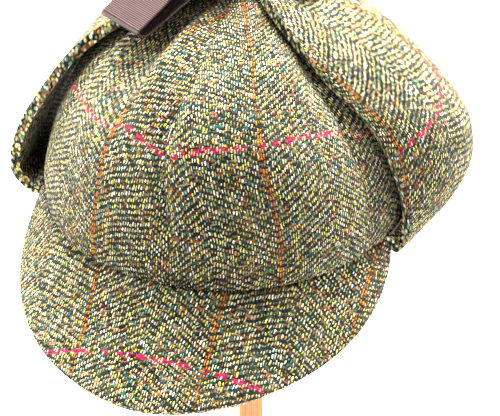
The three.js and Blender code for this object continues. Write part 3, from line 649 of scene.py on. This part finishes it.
def thicken(piece, thickness, rounding, segments=3, edge=None):
    """Gives a sheet its thickness, inwards from its outer face, and rounded edges. edge is their cloth."""
    solid = piece.modifiers.new("Thickness", "SOLIDIFY")
    solid.thickness = thickness
    solid.offset = -1
    solid.use_even_offset = True
    solid.use_quality_normals = True
    if edge is not None:
        piece.data.materials.append(edge)
        solid.material_offset_rim = 1
    bevel = piece.modifiers.new("Rounded edge", "BEVEL")
    bevel.width = rounding
    bevel.segments = segments
    bevel.limit_method = "ANGLE"
    bevel.angle_limit = math.radians(ROUNDED_FROM)


def declare_sheet(flat):
    """Gathers where a sheet's cut runs across and along, and does nothing more with it."""
    across = [place[0] for column in flat for place in column]
    along = [place[1] for column in flat for place in column]


def hat_place(sizes):
    """From the level hat to the one on the stand, which turns about the inside of its crown's top."""
    inside = sizes.crown_height - sizes.crown_cloth
    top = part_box("stand_head")[1].z + sizes.clearance
    seat = Vector((-sizes.shift - inside * math.sin(sizes.tilt), 0, top - inside * math.cos(sizes.tilt)))
    return Matrix.Translation(seat) @ Matrix.Rotation(sizes.tilt, 4, "Y")


def half_opening(sizes):
    """Half the width and half the length of the crown's rim, over the cloth."""
    return sizes.head_width / 2 + sizes.crown_cloth, sizes.head_length / 2 + sizes.crown_cloth


def crown_base(sizes, angle, rise):
    """A point of the smooth crown. angle in radians from the front towards +X, rise 0 at the rim."""
    half_width, half_length = half_opening(sizes)
    height = math.sin(math.radians(CROWN_TIP_ANGLE) * rise) ** (4 / (FRONT_FULLNESS + SIDE_FULLNESS))
    return Vector((
        half_width * math.sin(angle) * math.sqrt(1 - height ** SIDE_FULLNESS),
        -half_length * math.cos(angle) * math.sqrt(1 - height ** FRONT_FULLNESS),
        sizes.crown_height * height,
    ))


def crown_outward(sizes, angle, rise):
    """The way that the smooth crown faces there."""
    around = crown_base(sizes, angle + STEP, rise) - crown_base(sizes, angle - STEP, rise)
    up = crown_base(sizes, angle, min(1, rise + STEP)) - crown_base(sizes, angle, max(0, rise - STEP))
    return around.cross(up).normalized()


def fold_depth(sizes, angle, rise):
    """How deep the folds are there. They fade out at the rim and at the top."""
    degrees = math.degrees(math.atan2(math.sin(angle), math.cos(angle)))
    depth = 0
    for fold in CROWN_FOLDS:
        across = (degrees - fold["angle"]) / fold["angle_spread"]
        along = (rise - fold["rise"]) / fold["rise_spread"]
        depth += fold["depth"] * sizes.crown_height * math.exp(-across * across - along * along)
    return depth * math.sin(math.pi * rise)


def seam_angle(name, rise):
    """Where a seam runs, in radians. The front one wanders and the others run straight up."""
    along = (rise - FRONT_SEAM_WANDER_RISE) / FRONT_SEAM_WANDER_SPREAD
    wander = FRONT_SEAM_WANDER * math.exp(-along * along)
    return math.radians({
        "front": -wander, "front_left": FRONT_SEAM_ANGLE, "back_left": 180 - FRONT_SEAM_ANGLE, "back": 180,
        "back_right": 180 + FRONT_SEAM_ANGLE, "front_right": 360 - FRONT_SEAM_ANGLE,
        "front_again": 360 - wander}[name])


CROWN_PANELS = [
    {"name": "crown_panel_front_left", "from": "front", "to": "front_left", "cut_across": 0,
     "cut_along": 20, "slant": -0.22},
    {"name": "crown_panel_side_left", "from": "front_left", "to": "back_left", "cut_across": 5,
     "cut_along": 14, "slant": 0},
    {"name": "crown_panel_back_left", "from": "back_left", "to": "back", "cut_across": 12,
     "cut_along": 20, "slant": 0.12},
    {"name": "crown_panel_back_right", "from": "back", "to": "back_right", "cut_across": -12,
     "cut_along": 20, "slant": -0.12},
    {"name": "crown_panel_side_right", "from": "back_right", "to": "front_right", "cut_across": -5,
     "cut_along": 14, "slant": 0},
    {"name": "crown_panel_front_right", "from": "front_right", "to": "front_again", "cut_across": -9,
     "cut_along": 20, "slant": 0.22},
]
PANEL_COLUMNS = 48
PANEL_ROWS = 84


def panel_point(sizes, panel, u, v):
    """A point of a panel's outer face. The cloth sinks in at both seams and puckers a little there."""
    start, end = seam_angle(panel["from"], v), seam_angle(panel["to"], v)
    angle = start + (end - start) * u
    reach = max((crown_base(sizes, angle + STEP, v) - crown_base(sizes, angle, v)).length / STEP, 1e-6)
    trimmed = angle + SEAM_TRIM / reach * (1 - 2 * u)
    share = 2 * u - 1
    puff = sizes.panel_puff * (1 - share * share) * math.sin(math.pi * min(1, v + PUFF_LEAD))
    from_seam = (1 - abs(share)) * reach * abs(end - start) / 2
    seam = sizes.seam_depth * math.exp(-(from_seam / SEAM_SPREAD) ** 2) * min(1, 6 * v)
    base = crown_base(sizes, trimmed, v)
    base.z -= RIM_LAP * max(0, 1 - v / RIM_LAP_RISE)
    pucker = noise.noise(base * PUCKER_SCALE) * PUCKER_DEPTH * math.exp(-from_seam / PUCKER_REACH)
    ripple = noise.noise(base * RIPPLE_SCALE + Vector((7, 3, 1))) * RIPPLE_DEPTH
    fade = math.sin(math.pi * min(1, v * 0.97 + 0.03)) ** 0.5
    groove = GROOVE_DEPTH * math.exp(-(base.z / GROOVE_SPREAD) ** 2)
    out = max(0, puff) - max(seam, groove) - fold_depth(sizes, trimmed, v) + (pucker + ripple) * fade
    return base + crown_outward(sizes, trimmed, v) * out


def gore_cut(points, panel):
    """The flat cut of a panel: threads run along its middle, and rows climb across it by its slant."""
    columns, rows = len(points), len(points[0])
    centre = columns // 2
    flat = [[None] * rows for _ in range(columns)]
    across = [[0.0] * rows for _ in range(columns)]
    for row in range(rows):
        for column in range(centre + 1, columns):
            step = (points[column][row] - points[column - 1][row]).length
            across[column][row] = across[column - 1][row] + step
        for column in range(centre - 1, -1, -1):
            step = (points[column][row] - points[column + 1][row]).length
            across[column][row] = across[column + 1][row] - step
    for column in range(columns):
        from_tip = 0.0
        for row in range(rows - 1, -1, -1):
            if row < rows - 1:
                from_tip += (points[column][row + 1] - points[column][row]).length
            side = across[column][row]
            climb = panel["slant"] * side
            flat[column][row] = (side + panel["cut_across"] * MM,
                                 panel["cut_along"] * MM - from_tip + climb)
    return flat


class HAT_OT_crown(bpy.types.Operator):
    """Six panels of tweed, sewn together along seams that sink in"""

    bl_idname = "hat.crown"
    bl_label = "Make Crown"

    def execute(self, context):
        sizes = context.scene.hat_sizes
        tweed = shared_material("herringbone_tweed", tweed_material)
        for panel in CROWN_PANELS:
            points = grid_of(lambda u, v: panel_point(sizes, panel, u, v), PANEL_COLUMNS, PANEL_ROWS,
                             CROWN_CROWDING)
            flat = gore_cut(points, panel)
            piece = finished_piece("tweed_" + panel["name"], cloth_grid(points, flat, 1), tweed,
                                   [panel["name"]], hat_place(sizes))
            thicken(piece, sizes.crown_cloth, CROWN_EDGE_ROUND, 2)
            declare_sheet(flat)
        return {"FINISHED"}


PEAK_COLUMNS = 150
PEAK_ROWS = 24
PEAKS = [
    {"name": "peak_front", "side": 1, "cut_across": -22, "cut_along": 134},
    {"name": "peak_back", "side": -1, "cut_across": -5, "cut_along": 132},
]


def peak_point(sizes, side, u, v):
    """A point of a peak's upper face, and its place on the flat cut."""
    share = math.sin((u - 0.5) * math.pi * PEAK_END_SHARE)
    angle = math.radians(PEAK_END_ANGLE) * share
    depth = sizes.peak_depth * math.sqrt(1 - abs(share) ** PEAK_TAPER) * v
    slope = math.radians(PEAK_SLOPE + (PEAK_END_SLOPE - PEAK_SLOPE) * share * share)
    half_width, half_length = half_opening(sizes)
    square = Vector((math.sin(angle) / half_width, -math.cos(angle) / half_length)).normalized()
    ahead = Vector((square.x * PEAK_FLARE, square.y)).normalized()
    rim = crown_base(sizes, angle, 0)
    reach = depth * math.cos(slope) - PEAK_TUCK * (1 - v) ** PEAK_ROWS
    wave = noise.noise(Vector((u * 5, v * 1.5, side))) * PEAK_WAVE * v
    wave -= GROOVE_DEPTH * math.exp(-(depth / GROOVE_SPREAD) ** 2) * (1 - abs(share))
    point = Vector((rim.x + reach * ahead.x,
                    (rim.y + reach * ahead.y) * side,
                    rim.z - sizes.seam_gap - depth * math.sin(slope) + wave))
    cut = (rim.x + depth * ahead.x, -(rim.y + depth * ahead.y))
    return point, cut


class HAT_OT_peaks(bpy.types.Operator):
    """Two stiffened peaks of the same cut, sewn to the rim in front and behind"""

    bl_idname = "hat.peaks"
    bl_label = "Make Peaks"

    def execute(self, context):
        sizes = context.scene.hat_sizes
        tweed = shared_material("herringbone_tweed", tweed_material)
        for peak in PEAKS:
            both = grid_of(lambda u, v: peak_point(sizes, peak["side"], u, v), PEAK_COLUMNS, PEAK_ROWS)
            points = [[spot[0] for spot in column] for column in both]
            flat = [[(spot[1][0] + peak["cut_across"] * MM, peak["cut_along"] * MM - spot[1][1])
                     for spot in column] for column in both]
            piece = finished_piece("tweed_" + peak["name"], cloth_grid(points, flat, -peak["side"]), tweed,
                                   [peak["name"]], hat_place(sizes))
            thicken(piece, sizes.peak_cloth, PEAK_EDGE_ROUND,
                    edge=shared_material("tweed_turned_edge", tweed_edge_material))
            declare_sheet(flat)
        return {"FINISHED"}


def smooth_line(points, share):
    """A point on a centripetal Catmull-Rom line through the points, share running from 0 to 1."""
    last = len(points) - 1
    at = min(max(share, 0), 1) * last
    index = min(int(at), last - 1)
    weight = at - index
    near, far = points[index], points[index + 1]
    before = points[index - 1] if index > 0 else near * 2 - far
    after = points[index + 2] if index + 2 <= last else far * 2 - near
    spans = [max((b - a).length, 1e-9) ** 0.5 for a, b in ((before, near), (near, far), (far, after))]
    leave = ((near - before) / spans[0] - (far - before) / (spans[0] + spans[1]) + (far - near) / spans[1])
    reach = ((far - near) / spans[1] - (after - near) / (spans[1] + spans[2]) + (after - far) / spans[2])
    leave, reach = leave * spans[1], reach * spans[1]
    return (near + leave * weight + (far * 3 - near * 3 - leave * 2 - reach) * weight ** 2
            + (near * 2 - far * 2 + leave + reach) * weight ** 3)


FLAP_COLUMNS = 56
FLAP_ROWS = 110


def flap_lines(sizes, flap):
    """The flap's middle line and its edge, from the sewn edge over the fold to the tip."""
    half_width, half_length = half_opening(sizes)
    base = half_length * math.cos(math.radians(FLAP_BASE_ANGLE))
    under = -sizes.seam_gap - sizes.flap_cloth
    middle, edge = [], []
    for out, down, half in ((-sizes.crown_cloth, -FLAP_TUCK, base * FLAP_BASE_WIDENING),
                            (sizes.flap_fold - sizes.crown_cloth, sizes.flap_sag, base * FLAP_FOLD_WIDENING)):
        rim_out = half_width * math.sqrt(1 - (half / half_length) ** 2)
        middle.append(Vector((half_width + out, 0, under - down)))
        edge.append(Vector((rim_out + out, half, under - down)))
    for section in flap["sections"]:
        middle.append(Vector((section["mid_out"] * half_width, 0, section["mid_up"] * sizes.crown_height)))
        edge.append(Vector((section["edge_out"] * half_width, section["half"] * sizes.flap_width / 2,
                            section["edge_up"] * sizes.crown_height)))
    return middle, edge


def flap_point(sizes, flap, lines, u, v):
    """A point of a flap's outer face, between its edge and the middle line, where its pad is fullest."""
    middle, edge = (smooth_line(line, v) for line in lines)
    across = 2 * u - 1
    at = edge.lerp(middle, 1 - abs(across) ** flap["cupping"])
    lean = flap["lean"] * sizes.flap_width / 2 * math.sin(math.pi * v) * (1 - across * across)
    ripple = noise.noise(Vector((u * 3, v * 5, flap["side"] * 2))) * FLAP_RIPPLE * math.sin(math.pi * v)
    return Vector((flap["side"] * (at.x + ripple), edge.y * across + lean, at.z))


def strip_cut(points, offset=(0.0, 0.0), slant=0.0):
    """The flat cut of a sheet whose threads run along its middle column."""
    centre = len(points) // 2
    rows = len(points[0])
    along = [0.0]
    for row in range(1, rows):
        along.append(along[-1] + (points[centre][row] - points[centre][row - 1]).length)
    flat = []
    for column in range(len(points)):
        line = []
        for row in range(rows):
            low, high = sorted((column, centre))
            side = sum((points[c + 1][row] - points[c][row]).length for c in range(low, high))
            side = math.copysign(side, column - centre)
            line.append((side + offset[0] * MM, along[row] + slant * side + offset[1] * MM))
        flat.append(line)
    return flat


class HAT_OT_flaps(bpy.types.Operator):
    """Two padded ear flaps, sewn to the rim, folded up over the sides and tied on top"""

    bl_idname = "hat.flaps"
    bl_label = "Make Ear Flaps"

    def execute(self, context):
        sizes = context.scene.hat_sizes
        tweed = shared_material("herringbone_tweed", tweed_material)
        for flap in FLAPS:
            lines = flap_lines(sizes, flap)
            points = grid_of(lambda u, v: flap_point(sizes, flap, lines, u, v), FLAP_COLUMNS, FLAP_ROWS,
                             FLAP_CROWDING)
            flat = strip_cut(points, (flap["cut_across"], flap["cut_along"]), flap["slant"])
            piece = finished_piece("tweed_" + flap["name"], cloth_grid(points, flat, flap["side"]), tweed,
                                   [flap["name"]], hat_place(sizes))
            thicken(piece, sizes.flap_cloth, FLAP_EDGE_ROUND,
                    edge=shared_material("tweed_turned_edge", tweed_edge_material))
        return {"FINISHED"}


def tree_under(names, place):
    """A tree for casting rays on the outer faces of the named pieces, in the level hat's own frame."""
    back = place.inverted()
    verts, faces = [], []
    for name in names:
        mesh = bpy.data.objects[name].data
        start = len(verts)
        verts += [back @ vert.co for vert in mesh.vertices]
        faces += [[start + index for index in face.vertices] for face in mesh.polygons]
    return BVHTree.FromPolygons(verts, faces)


def rest_height(sizes, trees, spot, along, across):
    """The highest point under a patch as wide as the ribbon."""
    highest = 0.0
    for width_share in (-0.5, -0.25, 0, 0.25, 0.5):
        for reach in (-REST_REACH, 0, REST_REACH):
            start = Vector((spot.x, spot.y, 2 * sizes.crown_height))
            start += across * width_share * sizes.ribbon_width + along * reach
            for tree in trees:
                hit = tree.ray_cast(start, Vector((0, 0, -1)))[0]
                if hit is not None:
                    highest = max(highest, hit.z)
    return highest


def ribbon_points(sizes, centres, across, steps):
    """A strip of ribbon along a line of centres, whose edges wave very slightly."""
    def point(u, v):
        spot = smooth_line(centres, v)
        ahead = smooth_line(centres, min(1, v + STEP)) - smooth_line(centres, max(0, v - STEP))
        up = ahead.cross(across).normalized()
        share = 2 * u - 1
        wave = noise.noise(Vector((u * 2.2, v * 7, centres[0].x * 100))) * RIBBON_WAVE
        return spot + across * (u - 0.5) * sizes.ribbon_width + up * (wave * abs(share))
    return grid_of(point, RIBBON_COLUMNS, steps)


def ribbon_piece(sizes, name, centres, across, steps, facing=-1):
    """A strip of grosgrain along a line of centres."""
    ribbon = shared_material("brown_grosgrain", grosgrain_material)
    points = ribbon_points(sizes, centres, across, steps)
    flat = strip_cut(points)
    piece = finished_piece("ribbon_" + name, cloth_grid(points, flat, facing), ribbon, [name],
                           hat_place(sizes))
    thicken(piece, sizes.ribbon_cloth, RIBBON_EDGE_ROUND, 2)
    declare_sheet(flat)


def laid_centres(sizes, trees, root, along, across, length):
    """The centres of a ribbon that lies on what is under it."""
    centres = []
    for share in LAID_SHARES:
        spot = root + along * share * length
        spot.z = rest_height(sizes, trees, spot, along, across) + REST_GAP + sizes.ribbon_cloth
        centres.append(spot)
    return centres


def loop_centres(sizes, trees, side, along_bow, across_bow, knot_base):
    """The centres of a loop that leaves the knot, turns over at its end and comes back underneath."""
    start = KNOT_LENGTH / 2 + sizes.seam_gap + sizes.ribbon_cloth / 2
    lift = REST_GAP + sizes.ribbon_cloth

    def at(share):
        return along_bow * side * (start + share * (LOOP_LENGTH - start))

    def under(share):
        spot = at(share)
        rest = rest_height(sizes, trees, spot, along_bow, across_bow) + lift
        drop = min(1, share / LOOP_DROP_SHARE)
        spot.z = max(rest, (knot_base + lift) * (1 - drop) + rest * drop)
        return spot

    def over(share):
        spot = under(share)
        wave = math.pi * (LOOP_RISE_FROM + (LOOP_RISE_TO - LOOP_RISE_FROM) * share)
        spot.z += max(LOOP_RISE * math.sin(wave), LOOP_LEAST_RISE)
        return spot

    fold = LOOP_SHARES[-1]
    last = over(fold).lerp(under(fold), 0.5) + at(1) - at(fold)
    top = [over(share) for share in LOOP_SHARES]
    return top + [last] + [under(share) for share in reversed(LOOP_SHARES)]


def knot_piece(sizes, knot_base, turn):
    """The ribbon's knot: a band wrapped once round, drawn in at its middle and creased along its turns."""
    bm = bmesh.new()
    bmesh.ops.create_cube(bm, size=1)
    bmesh.ops.subdivide_edges(bm, edges=bm.edges[:], cuts=KNOT_CUTS, use_grid_fill=True)
    for vert in bm.verts:
        x, y, z = (2 * c for c in vert.co)
        fullness = max(abs(x), abs(y), abs(z))
        round_off = sum(abs(c) ** KNOT_SQUARENESS for c in (x, y, z)) ** (1 / KNOT_SQUARENESS) / fullness
        pinch = 1 - KNOT_PINCH * (1 - min(1, abs(x)) ** 2)
        crease = 1 - KNOT_CREASE * (0.5 + 0.5 * math.cos(KNOT_FOLDS * math.pi * x + KNOT_SLANT * y))
        vert.co = Vector((x / round_off * KNOT_LENGTH / 2,
                          y / round_off * KNOT_WIDTH / 2 * pinch * crease,
                          (z / round_off * pinch * crease + 1) * KNOT_HEIGHT / 2))
    bmesh.ops.smooth_vert(bm, verts=bm.verts, factor=0.5, use_axis_x=True, use_axis_y=True, use_axis_z=True)
    uv = bm.loops.layers.uv.new("cloth")
    for face in bm.faces:
        for loop in face.loops:
            spot = loop.vert.co
            round_it = math.atan2(spot.z - KNOT_HEIGHT / 2, spot.y) * KNOT_WIDTH / 2
            loop[uv].uv = (spot.x, round_it)
    place = hat_place(sizes) @ Matrix.Translation((0, 0, knot_base)) @ Matrix.Rotation(turn, 4, "Z")
    ribbon = shared_material("brown_grosgrain", grosgrain_material)
    piece = finished_piece("ribbon_bow_knot", bm, ribbon, ["bow_knot"], place)


class HAT_OT_bow(bpy.types.Operator):
    """A ribbon tied in a bow on top: knot, two loops, two tails and the ties from the flaps' tips"""

    bl_idname = "hat.bow"
    bl_label = "Make Ribbon Bow"

    def execute(self, context):
        sizes = context.scene.hat_sizes
        place = hat_place(sizes)
        turn = math.radians(BOW_TURN)
        along_bow = Vector((math.cos(turn), math.sin(turn), 0))
        across_bow = Vector((-math.sin(turn), math.cos(turn), 0))
        hat_names = ["tweed_" + piece["name"] for piece in CROWN_PANELS + FLAPS]
        trees = [tree_under(hat_names, place)]
        seat = max(rest_height(sizes, trees, along_bow * share * KNOT_LENGTH / 2, along_bow, across_bow)
                   for share in (-1, 0, 1))
        knot_base = seat + REST_GAP
        knot_piece(sizes, knot_base, turn)
        for name, side in (("ribbon_tie_left", 1), ("ribbon_tie_right", -1)):
            along, across = Vector((side, 0, 0)), Vector((0, side, 0))
            reach = math.hypot(KNOT_LENGTH, KNOT_WIDTH) / 2 + sizes.seam_gap
            centres = laid_centres(sizes, trees, along * reach, along, across, TIE_LENGTH)
            ribbon_piece(sizes, name, centres, across, TIE_STEPS)
        trees.append(tree_under(["ribbon_ribbon_tie_left", "ribbon_ribbon_tie_right"], place))
        for name, side in (("bow_tail_right", -1), ("bow_tail_left", 1)):
            heading = turn + math.pi / 2 - math.radians(TAIL_SWING) - side * math.radians(TAIL_SPLAY)
            along = Vector((math.cos(heading), math.sin(heading), 0))
            across = Vector((-along.y, along.x, 0))
            skew = math.tan(abs(heading - turn - math.pi / 2))
            start = KNOT_WIDTH / 2 + 2 * sizes.seam_gap + skew * (KNOT_LENGTH / 2 - TAIL_OFFSET)
            root = along_bow * side * TAIL_OFFSET + across_bow * start
            centres = laid_centres(sizes, trees, root, along, across, TAIL_LENGTH)
            ribbon_piece(sizes, name, centres, across, TAIL_STEPS)
            trees.append(tree_under(["ribbon_" + name], place))
        for name, side in (("bow_loop_front", -1), ("bow_loop_back", 1)):
            centres = loop_centres(sizes, trees, side, along_bow, across_bow, knot_base)
            ribbon_piece(sizes, name, centres, across_bow * side, LOOP_STEPS, 1)
        return {"FINISHED"}


def turned(profile):
    """A body turned on the Z axis from a profile of (radius, height) that starts and ends on it."""
    bm = bmesh.new()
    verts = [bm.verts.new((radius, 0, height)) for radius, height in profile]
    edges = [bm.edges.new(pair) for pair in zip(verts, verts[1:])]
    bmesh.ops.spin(bm, geom=verts + edges, cent=(0, 0, 0), axis=(0, 0, 1), angle=2 * math.pi,
                   steps=TURNED_STEPS, use_merge=True)
    bmesh.ops.remove_doubles(bm, verts=bm.verts, dist=1e-6)
    bmesh.ops.recalc_face_normals(bm, faces=bm.faces)
    return bm


class HAT_OT_stand(bpy.types.Operator):
    """A plain turned foot, a square post and a domed head inside the crown"""

    bl_idname = "hat.stand"
    bl_label = "Make Stand"

    def execute(self, context):
        pine = shared_material("sanded_pine", pine_material)
        low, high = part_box("stand_foot")
        radius, top = (high.x - low.x) / 2, high.z
        profile = [(0, low.z), (radius - FOOT_EASE, low.z), (radius, low.z + FOOT_EASE),
                   (radius, top - FOOT_ROUND)]
        for step in range(1, FOOT_STEPS + 1):
            turn = math.pi / 2 * step / FOOT_STEPS
            profile.append((radius - FOOT_ROUND * (1 - math.cos(turn)),
                            top - FOOT_ROUND * (1 - math.sin(turn))))
        profile.append((0, top))
        finished_piece("pine_foot", turned(profile), pine, ["stand_foot"])

        low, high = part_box("stand_head")
        radius, height = (high.x - low.x) / 2, high.z - low.z
        dome = [(0, low.z), (radius - FOOT_EASE, low.z)]
        for step in range(1, DOME_STEPS + 1):
            turn = math.pi / 2 * step / DOME_STEPS
            dome.append((radius * math.cos(turn), low.z + height * math.sin(turn)))
        finished_piece("pine_head", turned(dome), pine, ["stand_head"])

        low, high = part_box("stand_post")
        span = (high.x - low.x) / (math.cos(POST_TURN) + math.sin(POST_TURN))
        bm = bmesh.new()
        bmesh.ops.create_cube(bm, size=1)
        bmesh.ops.scale(bm, vec=(span, span, high.z - low.z), verts=bm.verts)
        long_edges = [edge for edge in bm.edges if abs((edge.verts[0].co - edge.verts[1].co).z) > span]
        bmesh.ops.bevel(bm, geom=long_edges, offset=POST_EASE, affect="EDGES", segments=3, profile=0.5,
                        material=-1)
        place = Matrix.Translation((low + high) / 2) @ Matrix.Rotation(POST_TURN, 4, "Z")
        post = finished_piece("pine_post", bm, pine, ["stand_post"], place)
        post.data.polygons.foreach_set("use_smooth", [False] * len(post.data.polygons))
        return {"FINISHED"}


class HAT_OT_stage(bpy.types.Operator):
    """A pale floor, soft studio light from above, and the camera"""

    bl_idname = "hat.stage"
    bl_label = "Make Stage"

    def execute(self, context):
        scene = context.scene
        material, _, _ = new_material(
            "pale_floor", **{"Base Color": linear(scene.hat_colours.floor), "Roughness": 0.9})
        mesh = bpy.data.meshes.new("floor")
        bm = bmesh.new()
        bmesh.ops.create_grid(bm, x_segments=1, y_segments=1, size=FLOOR_REACH)
        bm.to_mesh(mesh)
        bm.free()
        mesh.materials.append(material)
        floor = bpy.data.objects.new("floor", mesh)
        scene.collection.objects.link(floor)

        world = bpy.data.worlds.new("studio")
        world.use_nodes = True
        world.node_tree.nodes["Background"].inputs["Color"].default_value = linear(WORLD_COLOUR)
        world.node_tree.nodes["Background"].inputs["Strength"].default_value = WORLD_STRENGTH
        scene.world = world
        for lamp in LAMPS:
            light = bpy.data.lights.new(lamp["name"], "AREA")
            light.size = lamp["size"]
            light.energy = lamp["watts"]
            light.color = linear(lamp["colour"])[:3]
            holder = bpy.data.objects.new(lamp["name"], light)
            holder.location = lamp["at"]
            holder.rotation_euler = (LAMP_TARGET - holder.location).to_track_quat("-Z", "Y").to_euler()
            scene.collection.objects.link(holder)

        camera = bpy.data.cameras.new("camera")
        camera.lens = CAMERA_LENS
        camera.sensor_width = CAMERA_SENSOR
        holder = bpy.data.objects.new("camera", camera)
        holder.location = CAMERA_PLACE
        holder.rotation_euler = (CAMERA_TARGET - CAMERA_PLACE).to_track_quat("-Z", "Y").to_euler()
        scene.collection.objects.link(holder)
        scene.camera = holder
        scene.view_settings.view_transform = "Standard"
        return {"FINISHED"}


class HAT_PT_panel(bpy.types.Panel):
    """Lists the pieces of the hat and its stand"""

    bl_idname = "HAT_PT_panel"
    bl_label = "Deerstalker"
    bl_space_type = "VIEW_3D"
    bl_region_type = "UI"
    bl_category = "Hat"

    def draw(self, context):
        layout = self.layout
        for settings in (context.scene.hat_sizes, context.scene.hat_colours):
            for name in settings.bl_rna.properties.keys():
                if name not in ("rna_type", "name"):
                    layout.prop(settings, name)
        for operator in OPERATORS:
            layout.operator(operator.bl_idname)


OPERATORS = (HAT_OT_crown, HAT_OT_peaks, HAT_OT_flaps, HAT_OT_bow, HAT_OT_stand, HAT_OT_stage)
CLASSES = (HatSizes, HatColours) + OPERATORS + (HAT_PT_panel,)


def register():
    for cls in CLASSES:
        bpy.utils.register_class(cls)
    bpy.types.Scene.hat_sizes = PointerProperty(type=HatSizes)
    bpy.types.Scene.hat_colours = PointerProperty(type=HatColours)


def unregister():
    del bpy.types.Scene.hat_colours
    del bpy.types.Scene.hat_sizes
    for cls in reversed(CLASSES):
        bpy.utils.unregister_class(cls)


def main():
    """Makes everything in order."""
    register()
    bpy.ops.hat.crown()
    bpy.ops.hat.peaks()
    bpy.ops.hat.flaps()
    bpy.ops.hat.bow()
    bpy.ops.hat.stand()
    bpy.ops.hat.stage()


if __name__ == "__main__":
    main()
